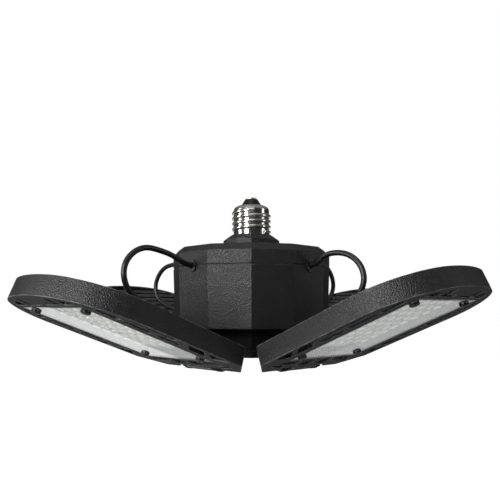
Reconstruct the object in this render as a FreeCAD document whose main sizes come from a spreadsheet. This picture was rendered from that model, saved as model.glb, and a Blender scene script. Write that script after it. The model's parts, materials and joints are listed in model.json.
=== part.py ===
import FreeCAD, Part
import math
import os
import Sketcher

# Folding four-panel garage light, hung by a medium screw base.
# Z is up. The origin is the top of the centre contact, on the axis of the lamp.

V = FreeCAD.Vector
doc = FreeCAD.newDocument("GarageLight")
sizes = doc.addObject("Spreadsheet::Sheet", "Sizes")

DRIVING = {
    # screw base, from the tip down
    "contact_radius": 3.6,
    "contact_height": 1.0,
    "contact_edge": 0.4,
    "stem_radius": 1.2,
    "stem_end": 1.0,
    "insulator_top_radius": 4.3,
    "insulator_foot_radius": 7.1,
    "insulator_height": 4.4,
    "insulator_plug": 3.8,
    "insulator_flange_radius": 10.2,
    "insulator_flange": 1.8,
    "shoulder_height": 3.2,
    "thread_length": 17.0,
    "thread_radius": 13.2,
    "thread_depth": 1.15,
    "thread_pitch": 3.63,
    "thread_turns": 3.9,
    "thread_runout": 1.7,
    "shell_wall": 0.5,
    # neck and cap
    "neck_height": 10.1,
    "neck_slope": 3.6,
    "neck_radius": 19.1,
    "neck_top_radius": 14.0,
    "spigot_height": 11.0,
    "spigot_bore": 9.0,
    "body_radius": 53.33,
    "foot_inset": 1.13,
    "cap_height": 13.1,
    "cap_edge_inset": 3.8,
    "cap_edge_drop": 4.2,
    "body_wall": 2.4,
    "seam_groove_height": 0.6,
    "seam_groove_depth": 0.7,
    # driver housing
    "housing_height": 38.9,
    "housing_floor": 2.5,
    "cap_screw_circle": 42.0,
    "post_radius": 3.8,
    "screw_radius": 1.5,
    "screw_head_radius": 2.8,
    "screw_head_height": 2.0,
    "screw_end_gap": 1.0,
    "standoff_circle": 29.0,
    "standoff_radius": 3.0,
    "standoff_height": 7.0,
    # hub and hinges
    "hub_radius": 38.0,
    "hub_height": 18.1,
    "hub_wall": 3.0,
    "hub_floor": 4.0,
    "hub_flange_radius": 41.0,
    "hub_flange": 4.2,
    "hub_screw_circle": 24.0,
    "hinge_radius": 41.70,
    "hinge_drop": 4.85,
    "ear_radius": 3.6,
    "ear_root_radius": 31.5,
    "ear_thickness": 4.0,
    "knuckle_radius": 3.4,
    "knuckle_width": 24.0,
    "washer_thickness": 0.5,
    "washer_radius": 3.2,
    "pin_radius": 1.6,
    "pin_head_radius": 2.9,
    "pin_head_height": 2.6,
    "nut_radius": 3.1,
    "nut_height": 3.2,
    "nut_room": 1.7,
    "ear_room": 2.0,
    # panels, measured from the hinge pin
    "tilt_right": 23.1,
    "tilt_back": 21.5,
    "tilt_left": 22.4,
    "tilt_front": 20.9,
    "pin_height": 3.0,
    "inner_edge": 1.5,
    "inner_half_width": 35.5,
    "half_width": 50.5,
    "panel_reach": 125.0,
    "end_radius": 85.0,
    "corner_radius": 42.0,
    "rim_height": 11.3,
    "rim_wall": 2.4,
    "rim_draft": 3.0,
    "web_thickness": 3.0,
    "bar_pitch": 9.0,
    "bar_width": 4.5,
    "bar_depth": 4.0,
    "bar_first": 13.0,
    "bar_drop": 0.3,
    "well_margin": 1.6,
    # cover, tray and LED board
    "cover_start": 21.6,
    "tip_margin": 16.4,
    "cover_width": 62.4,
    "cover_thickness": 2.0,
    "cover_ledge": 2.2,
    "tray_wall": 1.8,
    "cavity_depth": 7.8,
    "tray_floor": 1.5,
    "cover_screw_inset": 5.5,
    "cover_screw_side": 4.2,
    "boss_radius": 3.0,
    "cover_screw_radius": 1.25,
    "cover_screw_head_radius": 2.7,
    "cover_screw_head_height": 1.8,
    "board_inner_gap": 9.2,
    "board_outer_gap": 7.4,
    "board_thickness": 1.6,
    "chip_length": 3.5,
    "chip_width": 2.8,
    "chip_height": 0.8,
    "chip_pitch": 7.5,
    "chip_row_pitch": 8.5,
    "chip_margin": 1.0,
    # cables
    "cable_radius": 1.7,
    "cable_start": 46.0,
    "cable_end": 1.7,
    "cable_tail": 11.7,
    "collar_radius": 3.0,
    "collar_flange_radius": 3.8,
    "collar_flange": 1.0,
    "collar_reach": 3.0,
    "grommet_foot_radius": 4.6,
    "grommet_tip_radius": 2.7,
    "grommet_length": 9.0,
    "grommet_place": 29.0,
    "grommet_lean": 44.3,
    # driver
    "board_margin": 1.0,
    "core_length": 24.0,
    "core_width": 11.0,
    "core_height": 23.0,
    "core_leg": 3.9,
    "core_yoke": 2.9,
    "winding_width": 15.0,
    "winding_gap": 0.1,
    "can_radius": 6.3,
    "can_height": 22.0,
    "small_can_radius": 5.0,
    "small_can_height": 16.0,
    "choke_radius": 8.3,
    "choke_bore": 2.7,
    "choke_height": 6.6,
    "bridge_length": 10.0,
    "bridge_depth": 4.0,
    "bridge_height": 9.0,
    "transistor_length": 10.0,
    "transistor_depth": 4.5,
    "transistor_height": 15.0,
    "controller_length": 5.0,
    "controller_width": 4.0,
    "controller_height": 1.6,
    "fuse_radius": 2.6,
    "fuse_height": 9.0,
    "socket_side": 6.0,
    "mains_wire_radius": 0.8,
    "output_wire_radius": 1.2,
    # fits
    "seat_gap": 0.2,
    "running_gap": 0.05,
}
for row, (alias, number) in enumerate(DRIVING.items(), 1):
    sizes.set(f"A{row}", alias.replace("_", " "))
    sizes.set(f"B{row}", str(number))
    sizes.setAlias(f"B{row}", alias)
doc.recompute()

FACES = 12
FACE_TURN = 180.0 / FACES
AZIMUTHS = {"right": 0.0, "back": 90.0, "left": 180.0, "front": 270.0}

# Levels below the tip of the contact, as expressions of the sheet.
INSULATOR_TOP = "(-Sizes.contact_height)"
INSULATOR_FOOT = f"({INSULATOR_TOP} - Sizes.insulator_height)"
THREAD_TOP = f"({INSULATOR_FOOT} - Sizes.shoulder_height)"
SHELL_FOOT = f"({THREAD_TOP} - Sizes.thread_length)"
CAP_TOP = f"({SHELL_FOOT} - Sizes.neck_height)"
SEAM = f"({CAP_TOP} - Sizes.cap_height)"
HOUSING_FOOT = f"({SEAM} - Sizes.housing_height)"
HOUSING_FLOOR = f"({HOUSING_FOOT} + Sizes.housing_floor)"
BOARD_SEAT = f"({HOUSING_FLOOR} + Sizes.standoff_height)"
HUB_FOOT = f"({HOUSING_FOOT} - Sizes.hub_height)"
HINGE_LEVEL = f"({HUB_FOOT} - Sizes.hinge_drop)"
SHELL_CORE = "(Sizes.thread_radius - Sizes.thread_depth)"
BORE = "(Sizes.pin_radius + Sizes.running_gap)"
FACE_FLAT = f"cos({FACE_TURN})"
SEAM_FLAT = f"(Sizes.body_radius * {FACE_FLAT})"

# Levels in a panel, above its hinge pin.
PANEL_FACE = "(-Sizes.pin_height)"
PANEL_TOP = f"({PANEL_FACE} + Sizes.rim_height)"
TRAY_CEILING = f"({PANEL_FACE} + Sizes.cavity_depth)"
TRAY_TOP = f"({TRAY_CEILING} + Sizes.tray_floor)"
COVER_SEAT = f"({PANEL_FACE} + Sizes.cover_thickness)"
BOARD_FACE = f"({TRAY_CEILING} - Sizes.board_thickness)"

# Places along a panel, from its hinge pin, and across it.
COVER_END = "(Sizes.panel_reach - Sizes.tip_margin)"
BOARD_START = "(Sizes.cover_start + Sizes.cover_ledge + Sizes.board_inner_gap)"
BOARD_END = f"({COVER_END} - Sizes.cover_ledge - Sizes.board_outer_gap)"
BOARD_HALF = "(Sizes.cover_width / 2 - Sizes.cover_ledge - Sizes.seat_gap)"
TRAY_EDGE = "(Sizes.seat_gap + Sizes.tray_wall)"

STEM_END = f"({INSULATOR_FOOT} - Sizes.insulator_plug - Sizes.insulator_flange - Sizes.stem_end)"
CABLE_BORE = "(Sizes.cable_radius + 3 * Sizes.running_gap)"


def value(expression):
    """The number that an expression of the sheet gives now."""
    result = sizes.evalExpression(expression)
    return float(getattr(result, "Value", result))


def size(alias):
    return value(f"Sizes.{alias}")


def bound(thing, **expressions):
    for prop, expression in expressions.items():
        thing.setExpression(prop.replace("__", "."), expression)
    return thing


def new_body(label):
    made = doc.addObject("PartDesign::Body", label)
    made.Label = label
    return made


def new_sketch(body, name, plane, level=None):
    """An empty sketch on one of the body's own planes, moved along its normal to a level."""
    sketch = body.newObject("Sketcher::SketchObject", name)
    support = [item for item in body.Origin.OriginFeatures if item.Role == plane][0]
    sketch.AttachmentSupport = (support, [""])
    sketch.MapMode = "FlatFace"
    if level is not None:
        sketch.setExpression("AttachmentOffset.Base.z", level)
    return sketch


def draw_bound(sketch, corners):
    """A closed outline of straight edges whose corners are bound to the sheet."""
    numbers = [V(value(x), value(y), 0) for x, y in corners]
    first = sketch.GeometryCount
    count = len(corners)
    for index in range(count):
        sketch.addGeometry(Part.LineSegment(numbers[index], numbers[(index + 1) % count]))
    for index in range(count):
        following = first + (index + 1) % count
        sketch.addConstraint(Sketcher.Constraint("Coincident", first + index, 2, following, 1))
    for index, (x, y) in enumerate(corners):
        places = (("DistanceX", numbers[index].x, x), ("DistanceY", numbers[index].y, y))
        for kind, number, expression in places:
            made = sketch.addConstraint(Sketcher.Constraint(kind, first + index, 1, number))
            sketch.setExpression(f"Constraints[{made}]", expression)
    return sketch


def draw_circle(sketch, x, y, radius):
    """A circle whose place and size are bound to the sheet."""
    made = sketch.addGeometry(Part.Circle(V(value(x), value(y), 0), V(0, 0, 1), value(radius)))
    for kind, expression in (("DistanceX", x), ("DistanceY", y)):
        index = sketch.addConstraint(Sketcher.Constraint(kind, made, 3, value(expression)))
        sketch.setExpression(f"Constraints[{index}]", expression)
    index = sketch.addConstraint(Sketcher.Constraint("Radius", made, value(radius)))
    sketch.setExpression(f"Constraints[{index}]", radius)
    return sketch


def draw_loop(sketch, corners):
    """A closed outline of straight edges at places worked out from the sheet."""
    points = [V(x, y, 0) for x, y in corners]
    for start, end in zip(points, points[1:] + points[:1]):
        sketch.addGeometry(Part.LineSegment(start, end))
    return sketch


def box_corners(x_low, x_high, y_low, y_high):
    return [(x_low, y_low), (x_high, y_low), (x_high, y_high), (x_low, y_high)]


def facet_corners(radius):
    """Corners of a twelve-sided outline with a flat face towards each panel."""
    turns = [FACE_TURN + index * 360.0 / FACES for index in range(FACES)]
    return [(f"({radius}) * cos({turn})", f"({radius}) * sin({turn})") for turn in turns]


def pad(body, sketch, length, taper=None, midplane=False, down=False):
    made = body.newObject("PartDesign::Pad", sketch.Name + "_pad")
    made.Profile = sketch
    sketch.Visibility = False
    made.Midplane = midplane
    made.Reversed = down
    bound(made, Length=length)
    if taper is not None:
        bound(made, TaperAngle=taper)
    return made


def pocket(body, sketch, length=None, midplane=False, up=False):
    """A cut from the sketch: downward through all unless told otherwise."""
    made = body.newObject("PartDesign::Pocket", sketch.Name + "_cut")
    made.Profile = sketch
    made.Midplane = midplane
    made.Reversed = up
    if length is None:
        made.Type = "ThroughAll"
    else:
        bound(made, Length=length)
    return made


def revolved(label, corners):
    """A body turned about Z from an outline of radius and height."""
    body = new_body(label)
    sketch = draw_bound(new_sketch(body, label + "_section", "XZ_Plane"), corners)
    turned = body.newObject("PartDesign::Revolution", label + "_turned")
    turned.Profile = sketch
    turned.ReferenceAxis = (sketch, ["V_Axis"])
    turned.Angle = 360.0
    return body


def around(radius, turn):
    """A point at a radius and an angle, as two expressions."""
    return f"({radius}) * cos({turn})", f"({radius}) * sin({turn})"


# ---- screw base ----

def make_centre_contact():
    return revolved("centre_contact", [
        ("0", "0"),
        ("Sizes.contact_radius - Sizes.contact_edge", "0"),
        ("Sizes.contact_radius", "-Sizes.contact_edge"),
        ("Sizes.contact_radius", INSULATOR_TOP),
        ("Sizes.stem_radius", INSULATOR_TOP),
        ("Sizes.stem_radius", STEM_END),
        ("0", STEM_END),
    ])


def make_base_insulator():
    hole = "Sizes.stem_radius + Sizes.running_gap"
    flange_top = f"{INSULATOR_FOOT} - Sizes.insulator_plug"
    return revolved("base_insulator", [
        (hole, INSULATOR_TOP),
        ("Sizes.insulator_top_radius", INSULATOR_TOP),
        ("Sizes.insulator_foot_radius", INSULATOR_FOOT),
        ("Sizes.insulator_foot_radius", flange_top),
        ("Sizes.insulator_flange_radius", flange_top),
        ("Sizes.insulator_flange_radius", f"{flange_top} - Sizes.insulator_flange"),
        (hole, f"{flange_top} - Sizes.insulator_flange"),
    ])


def make_screw_shell():
    """A drawn shell with a round shoulder and a rolled thread."""
    lip = "(Sizes.insulator_foot_radius + Sizes.seat_gap)"
    steps = (0.0, 0.4, 0.75, 0.95, 1.0)
    outer = [(f"{lip} + ({SHELL_CORE} - {lip}) * {step}",
              f"{INSULATOR_FOOT} - Sizes.shoulder_height * {1 - math.sqrt(1 - step ** 2):.4f}")
             for step in steps]
    inner = [(f"{lip} + ({SHELL_CORE} - Sizes.shell_wall - {lip}) * {step}",
              f"{INSULATOR_FOOT} - Sizes.shell_wall"
              f" - Sizes.shoulder_height * {1 - math.sqrt(1 - step ** 2):.4f}")
             for step in steps]
    corners = outer + [(SHELL_CORE, SHELL_FOOT), (f"{SHELL_CORE} - Sizes.shell_wall", SHELL_FOOT)]
    body = revolved("screw_shell", corners + inner[::-1])
    ridge = new_sketch(body, "thread_ridge", "XZ_Plane")
    root = size("thread_radius") - size("thread_depth") - size("shell_wall") / 2
    middle = value(f"{SHELL_FOOT} + Sizes.thread_runout")
    half = 0.37 * size("thread_pitch")
    low, high = V(root, middle - half, 0), V(root, middle + half, 0)
    crest = V(size("thread_radius"), middle, 0)
    ridge.addGeometry(Part.Arc(low, crest, high))
    ridge.addGeometry(Part.LineSegment(high, low))
    thread = body.newObject("PartDesign::AdditiveHelix", "thread")
    thread.Profile = ridge
    thread.ReferenceAxis = (ridge, ["V_Axis"])
    thread.Mode = "pitch-height-angle"
    bound(thread, Pitch="Sizes.thread_pitch", Height="Sizes.thread_pitch * Sizes.thread_turns")
    return body


# ---- cap and driver housing ----

def cable_holes(body):
    """Round cable holes through the four faces, centred on the seam."""
    for plane, across in (("XZ_Plane", "x"), ("YZ_Plane", "y")):
        hole = new_sketch(body, f"cable_hole_{across}", plane)
        draw_circle(hole, "0", SEAM, "Sizes.collar_radius + Sizes.seat_gap / 2")
        pocket(body, hole, "Sizes.body_radius * 3", midplane=True)


def make_upper_cap():
    body = new_body("upper_cap")
    skirt = draw_bound(new_sketch(body, "skirt", "XY_Plane", SEAM), facet_corners("Sizes.body_radius"))
    pad(body, skirt, "Sizes.cap_height - Sizes.cap_edge_drop")
    edge = draw_bound(new_sketch(body, "edge", "XY_Plane", f"{CAP_TOP} - Sizes.cap_edge_drop"),
                      facet_corners("Sizes.body_radius"))
    pad(body, edge, "Sizes.cap_edge_drop", taper="-atan(Sizes.cap_edge_inset / Sizes.cap_edge_drop)")
    neck = draw_bound(new_sketch(body, "neck", "XY_Plane", CAP_TOP), facet_corners("Sizes.neck_radius"))
    pad(body, neck, "Sizes.neck_height - Sizes.neck_slope")
    slope = draw_bound(new_sketch(body, "slope", "XY_Plane", f"{SHELL_FOOT} - Sizes.neck_slope"),
                       facet_corners("Sizes.neck_radius"))
    lean = f"(Sizes.neck_radius - Sizes.neck_top_radius) * {FACE_FLAT} / Sizes.neck_slope"
    pad(body, slope, "Sizes.neck_slope", taper=f"-atan({lean})")
    spigot = new_sketch(body, "spigot", "XY_Plane", SHELL_FOOT)
    draw_circle(spigot, "0", "0", f"{SHELL_CORE} - Sizes.shell_wall - Sizes.running_gap")
    pad(body, spigot, "Sizes.spigot_height")
    bore = new_sketch(body, "spigot_hole", "XY_Plane", f"{SHELL_FOOT} + Sizes.spigot_height")
    pocket(body, draw_circle(bore, "0", "0", "Sizes.spigot_bore"))
    room = draw_bound(new_sketch(body, "cap_room", "XY_Plane", SEAM),
                      facet_corners("Sizes.body_radius - Sizes.body_wall"))
    pocket(body, room, "Sizes.cap_height - Sizes.cap_edge_drop", up=True)
    posts = new_sketch(body, "cap_posts", "XY_Plane", SEAM)
    pilots = new_sketch(body, "cap_pilots", "XY_Plane", SEAM)
    for turn in (45, 135, 225, 315):
        draw_circle(posts, *around("Sizes.cap_screw_circle", turn), "Sizes.post_radius")
        draw_circle(pilots, *around("Sizes.cap_screw_circle", turn), "Sizes.screw_radius + Sizes.running_gap")
    pad(body, posts, "Sizes.cap_height - Sizes.body_wall / 2")
    pocket(body, pilots, "Sizes.cap_height - Sizes.body_wall * 1.5", up=True)
    groove = draw_bound(new_sketch(body, "seam_groove", "XY_Plane", SEAM), facet_corners("Sizes.body_radius * 2"))
    draw_bound(groove, facet_corners("Sizes.body_radius - Sizes.seam_groove_depth"))
    pocket(body, groove, "Sizes.seam_groove_height", up=True)
    cable_holes(body)
    return body


def make_driver_housing():
    body = new_body("driver_housing")
    outside = draw_bound(new_sketch(body, "outside", "XY_Plane", HOUSING_FOOT),
                         facet_corners("Sizes.body_radius - Sizes.foot_inset"))
    flare = f"Sizes.foot_inset * {FACE_FLAT} / Sizes.housing_height"
    pad(body, outside, "Sizes.housing_height", taper=f"atan({flare})")
    inside = draw_bound(new_sketch(body, "inside", "XY_Plane", SEAM),
                        facet_corners("Sizes.body_radius - Sizes.foot_inset - Sizes.body_wall"))
    pocket(body, inside, "Sizes.housing_height - Sizes.housing_floor")
    posts = new_sketch(body, "long_posts", "XY_Plane", HOUSING_FOOT)
    clear = new_sketch(body, "long_holes", "XY_Plane", SEAM)
    heads = new_sketch(body, "head_recesses", "XY_Plane", HOUSING_FOOT)
    standoffs = new_sketch(body, "standoffs", "XY_Plane", HOUSING_FOOT)
    pilots = new_sketch(body, "standoff_pilots", "XY_Plane", BOARD_SEAT)
    lugs = new_sketch(body, "hub_lugs", "XY_Plane", HOUSING_FOOT)
    lug_pilots = new_sketch(body, "hub_pilots", "XY_Plane", HOUSING_FOOT)
    for turn in (45, 135, 225, 315):
        long_place = around("Sizes.cap_screw_circle", turn)
        draw_circle(posts, *long_place, "Sizes.post_radius")
        draw_circle(clear, *long_place, "Sizes.screw_radius + Sizes.seat_gap")
        draw_circle(heads, *long_place, "Sizes.screw_head_radius + Sizes.seat_gap")
        draw_circle(standoffs, *around("Sizes.standoff_circle", turn), "Sizes.standoff_radius")
        draw_circle(pilots, *around("Sizes.standoff_circle", turn), "Sizes.screw_radius + Sizes.running_gap")
        draw_circle(lugs, *around("Sizes.hub_screw_circle", turn - 45), "Sizes.post_radius")
        draw_circle(lug_pilots, *around("Sizes.hub_screw_circle", turn - 45),
                    "Sizes.screw_radius + Sizes.running_gap")
    pad(body, posts, "Sizes.housing_height")
    pad(body, standoffs, "Sizes.housing_floor + Sizes.standoff_height")
    pad(body, lugs, "Sizes.housing_floor + Sizes.standoff_height / 2")
    pocket(body, clear)
    pocket(body, heads, "Sizes.screw_head_height + Sizes.seat_gap", up=True)
    pocket(body, pilots, "Sizes.standoff_height")
    pocket(body, lug_pilots, "Sizes.standoff_height / 2 + Sizes.housing_floor / 2", up=True)
    cable_holes(body)
    return body


def screws(label, places, seat, shank, head_radius, head_height, radius, head_down):
    """A group of pan-head screws along Z: seat is the level where each head bears."""
    body_parts = []
    way = -1 if head_down else 1
    for index, (x, y) in enumerate(places):
        head = doc.addObject("Part::Cylinder", f"{label}_head_{index}")
        pin = doc.addObject("Part::Cylinder", f"{label}_shank_{index}")
        for made, wide, tall, low in (
                (head, head_radius, head_height, seat if way > 0 else f"{seat} - ({head_height})"),
                (pin, radius, shank, f"{seat} - ({shank})" if way > 0 else seat)):
            bound(made, Radius=wide, Height=tall, Placement__Base__x=x, Placement__Base__y=y,
                  Placement__Base__z=low)
        screw = doc.addObject("Part::Fuse", f"{label}_{index}")
        screw.Base = head
        screw.Tool = pin
        body_parts.append(screw)
    return group(label, body_parts)


def group(label, pieces):
    """Several separate solids under one label."""
    made = doc.addObject("Part::Compound", label)
    made.Label = label
    made.Links = pieces
    return made


def make_cap_screws():
    places = [around("Sizes.cap_screw_circle", turn) for turn in (45, 135, 225, 315)]
    return screws("cap_screws", places, f"{HOUSING_FOOT} + Sizes.screw_head_height + Sizes.seat_gap",
                  "Sizes.housing_height + Sizes.cap_height / 4", "Sizes.screw_head_radius",
                  "Sizes.screw_head_height", "Sizes.screw_radius", True)


def make_board_screws():
    places = [around("Sizes.standoff_circle", turn) for turn in (45, 135, 225, 315)]
    return screws("board_screws", places, f"{BOARD_SEAT} + Sizes.board_thickness",
                  "Sizes.board_thickness + Sizes.standoff_height - Sizes.screw_end_gap",
                  "Sizes.screw_head_radius", "Sizes.screw_head_height", "Sizes.screw_radius", False)


def make_hub_screws():
    places = [around("Sizes.hub_screw_circle", turn) for turn in (0, 90, 180, 270)]
    return screws("hub_screws", places, f"{HUB_FOOT} + Sizes.screw_head_height + Sizes.seat_gap",
                  "Sizes.hub_height - Sizes.screw_head_height + Sizes.standoff_height / 2",
                  "Sizes.screw_head_radius", "Sizes.screw_head_height", "Sizes.screw_radius", True)


# ---- hinge hub ----

def make_hinge_hub():
    """A twelve-sided cup under the housing, with a pair of hinge ears towards each panel."""
    body = new_body("hinge_hub")
    column = draw_bound(new_sketch(body, "column", "XY_Plane", HUB_FOOT), facet_corners("Sizes.hub_radius"))
    pad(body, column, "Sizes.hub_height")
    flange = draw_bound(new_sketch(body, "flange", "XY_Plane", HUB_FOOT),
                        facet_corners("Sizes.hub_flange_radius"))
    pad(body, flange, "Sizes.hub_flange")
    room = draw_bound(new_sketch(body, "hub_room", "XY_Plane", HOUSING_FOOT),
                      facet_corners("Sizes.hub_radius - Sizes.hub_wall"))
    pocket(body, room, "Sizes.hub_height - Sizes.hub_floor")
    posts = new_sketch(body, "hub_posts", "XY_Plane", HUB_FOOT)
    holes = new_sketch(body, "hub_holes", "XY_Plane", HOUSING_FOOT)
    heads = new_sketch(body, "hub_heads", "XY_Plane", HUB_FOOT)
    for turn in (0, 90, 180, 270):
        place = around("Sizes.hub_screw_circle", turn)
        draw_circle(posts, *place, "Sizes.post_radius")
        draw_circle(holes, *place, "Sizes.screw_radius + Sizes.seat_gap")
        draw_circle(heads, *place, "Sizes.screw_head_radius + Sizes.seat_gap")
    pad(body, posts, "Sizes.hub_height")
    pocket(body, holes)
    pocket(body, heads, "Sizes.screw_head_height + Sizes.seat_gap", up=True)

    # One ear outline: a link with round ends, from the hub's floor to the pin.
    pin = V(size("hinge_radius"), value(HINGE_LEVEL), 0)
    root = V(size("ear_root_radius"), value(HUB_FOOT) + size("ear_radius"), 0)
    along = (pin - root).normalize()
    side = V(-along.y, along.x, 0) * size("ear_radius")
    reach = along * size("ear_radius")
    ear_gap = size("knuckle_width") / 2 + size("washer_thickness") + 2 * size("running_gap")
    for name, level in (("near", -ear_gap - size("ear_thickness")), ("far", ear_gap)):
        for plane in ("XZ_Plane", "YZ_Plane"):
            ear = new_sketch(body, f"ears_{name}_{plane[:2].lower()}", plane)
            ear.AttachmentOffset = FreeCAD.Placement(V(0, 0, level), FreeCAD.Rotation())
            for mirror in (1, -1):
                points = [root + side, pin + side, pin + reach, pin - side, root - side, root - reach]
                a, b, tip, c, d, heel = [V(p.x * mirror, p.y, 0) for p in points]
                ear.addGeometry(Part.LineSegment(a, b))
                ear.addGeometry(Part.Arc(b, tip, c))
                ear.addGeometry(Part.LineSegment(c, d))
                ear.addGeometry(Part.Arc(d, heel, a))
            pad(body, ear, "Sizes.ear_thickness")
    for plane in ("XZ_Plane", "YZ_Plane"):
        hole = new_sketch(body, f"pin_holes_{plane[:2].lower()}", plane)
        draw_circle(hole, "Sizes.hinge_radius", HINGE_LEVEL, BORE)
        draw_circle(hole, "-Sizes.hinge_radius", HINGE_LEVEL, BORE)
        pocket(body, hole, "Sizes.knuckle_width * 2", midplane=True)
    return body


def hinge_placement(turn):
    """The pin of one hinge, with its local Z along the pin."""
    radius = size("hinge_radius")
    spin = FreeCAD.Placement(V(0, 0, 0), FreeCAD.Rotation(V(0, 0, 1), turn))
    here = FreeCAD.Placement(V(radius, 0, value(HINGE_LEVEL)), FreeCAD.Rotation(V(1, 0, 0), -90))
    return spin * here


def hinge_group(label, section, offset_list):
    """The same turned or six-sided piece at every hinge, as separate solids."""
    made = []
    for name, turn in AZIMUTHS.items():
        for index, offset in enumerate(offset_list):
            piece = section(f"{label}_{name}_{index}")
            shift = FreeCAD.Placement(V(0, 0, value(offset)), FreeCAD.Rotation())
            piece.Placement = hinge_placement(turn) * shift
            made.append(piece)
    return group(label, made)


EAR_OUTER = "(Sizes.knuckle_width / 2 + Sizes.washer_thickness + 2 * Sizes.running_gap + Sizes.ear_thickness)"


def make_hinge_pins():
    def pin(name):
        head = bound(doc.addObject("Part::Cylinder", name + "_head"), Radius="Sizes.pin_head_radius",
                     Height="Sizes.pin_head_height", Placement__Base__z="-Sizes.pin_head_height")
        shank = bound(doc.addObject("Part::Cylinder", name + "_shank"), Radius="Sizes.pin_radius",
                      Height=f"{EAR_OUTER} * 2 + Sizes.nut_height")
        made = doc.addObject("Part::Fuse", name)
        made.Base = head
        made.Tool = shank
        return made
    return hinge_group("hinge_pins", pin, [f"-{EAR_OUTER}"])


def make_hinge_nuts():
    def nut(name):
        body = bound(doc.addObject("Part::Prism", name + "_hex"), Circumradius="Sizes.nut_radius",
                     Height="Sizes.nut_height")
        body.Polygon = 6
        hole = bound(doc.addObject("Part::Cylinder", name + "_hole"), Radius=BORE,
                     Height="Sizes.nut_height * 3", Placement__Base__z="-Sizes.nut_height")
        made = doc.addObject("Part::Cut", name)
        made.Base = body
        made.Tool = hole
        return made
    return hinge_group("hinge_nuts", nut, [EAR_OUTER])


def make_friction_washers():
    def washer(name):
        disc = bound(doc.addObject("Part::Cylinder", name + "_disc"), Radius="Sizes.washer_radius",
                     Height="Sizes.washer_thickness")
        hole = bound(doc.addObject("Part::Cylinder", name + "_hole"), Radius=BORE,
                     Height="Sizes.washer_thickness * 3", Placement__Base__z="-Sizes.washer_thickness")
        made = doc.addObject("Part::Cut", name)
        made.Base = disc
        made.Tool = hole
        return made
    far = "Sizes.knuckle_width / 2 + Sizes.running_gap"
    return hinge_group("friction_washers", washer, [far, f"-({far}) - Sizes.washer_thickness"])


# ---- panels ----

def panel_placement(name):
    """A panel's own frame: origin on its hinge pin, X outward along the panel."""
    spin = FreeCAD.Placement(V(0, 0, 0), FreeCAD.Rotation(V(0, 0, 1), AZIMUTHS[name]))
    hinge = V(size("hinge_radius"), 0, value(HINGE_LEVEL))
    return spin * FreeCAD.Placement(hinge, FreeCAD.Rotation(V(0, 1, 0), -size(f"tilt_{name}")))


def end_arcs():
    """Along a panel: the arch's centre and the rounded corner's; across it: the corner's."""
    arch_x = size("panel_reach") - size("end_radius")
    corner_y = size("half_width") - size("corner_radius")
    spread = size("end_radius") - size("corner_radius")
    return arch_x, arch_x + math.sqrt(spread ** 2 - corner_y ** 2), corner_y


def draw_panel_outline(sketch, inset):
    """The outline of a panel: square shoulders cut at 45 degrees, and an arched outer end."""
    start = size("inner_edge") + inset
    half = size("half_width") - inset
    cut = (math.sqrt(2) - 1) * inset
    inner_half = size("inner_half_width") - cut
    shoulder = size("inner_edge") + size("half_width") - size("inner_half_width") + cut
    arch = size("end_radius") - inset
    corner = size("corner_radius") - inset
    arch_x, corner_x, corner_y = end_arcs()
    toward = V(corner_x - arch_x, corner_y, 0).normalize()
    join = V(arch_x, 0, 0) + toward * arch
    middle = (toward + V(0, 1, 0)).normalize()
    bulge = V(corner_x, corner_y, 0) + middle * corner

    def mirrored(point):
        return V(point.x, -point.y, 0)

    inner, wide, bend = V(start, inner_half, 0), V(shoulder, half, 0), V(corner_x, half, 0)
    sketch.addGeometry(Part.LineSegment(mirrored(inner), inner))
    sketch.addGeometry(Part.LineSegment(inner, wide))
    sketch.addGeometry(Part.LineSegment(wide, bend))
    sketch.addGeometry(Part.Arc(bend, bulge, join))
    sketch.addGeometry(Part.Arc(join, V(arch_x + arch, 0, 0), mirrored(join)))
    sketch.addGeometry(Part.Arc(mirrored(join), mirrored(bulge), mirrored(bend)))
    sketch.addGeometry(Part.LineSegment(mirrored(bend), mirrored(wide)))
    sketch.addGeometry(Part.LineSegment(mirrored(wide), mirrored(inner)))
    return sketch


def half_width_at(x, inset):
    """Half the panel's width at a place along it, measured to an inset line."""
    arch_x, corner_x, corner_y = end_arcs()
    arch, corner = size("end_radius") - inset, size("corner_radius") - inset
    shoulder = size("inner_half_width") + x - size("inner_edge") - inset * math.sqrt(2)
    if x < corner_x:
        return min(size("half_width") - inset, shoulder)
    join_x = arch_x + arch * (corner_x - arch_x) / (arch - corner)
    if x < join_x:
        return corner_y + math.sqrt(corner ** 2 - (x - corner_x) ** 2)
    return math.sqrt(arch ** 2 - (x - arch_x) ** 2)


def reach_at(y, inset):
    """How far the panel reaches at a place across it, measured to an inset line."""
    arch_x, corner_x, corner_y = end_arcs()
    arch, corner = size("end_radius") - inset, size("corner_radius") - inset
    if y < arch * corner_y / (arch - corner):
        return arch_x + math.sqrt(arch ** 2 - y ** 2)
    return corner_x + math.sqrt(corner ** 2 - (y - corner_y) ** 2)


# The slots on one side of a panel, each placed by shares. Beside the tray they are shares of the
# tray's length and of the band between tray and rim; at the ends, of the strip there and of half
# the tray's width.
INNER_ROW = (0.26, 0.57)
OUTER_ROW = (0.77, 0.97)
OUTER_SLOT = (0.46, 0.78)
SLOT_STEPS = 4
ROW_SLOTS = ((0.35, 0.53), (0.57, 0.76), (0.80, 0.94))
LEANING_SLOT = (0.14, 0.27)
CORNER_SLOT = (0.04, 0.09, 0.22)
ROOT_SLOTS = (((0.45, 0.51), (0.10, 0.51), (0.10, 0.99), (0.45, 0.99)),
              ((0.80, 0.75), (0.57, 0.75), (0.36, 1.14), (0.61, 1.10)),
              ((0.70, 0.09), (0.10, 0.09), (0.10, 0.39), (0.70, 0.39)))
TIP_SLOTS = (((0.08, 0.62), (0.86, 0.62), (0.72, 0.90), (0.08, 0.90)),
             ((0.08, 0.09), (0.27, 0.09), (0.27, 0.38), (0.88, 0.38), (0.86, 0.53), (0.08, 0.53)))


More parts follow.
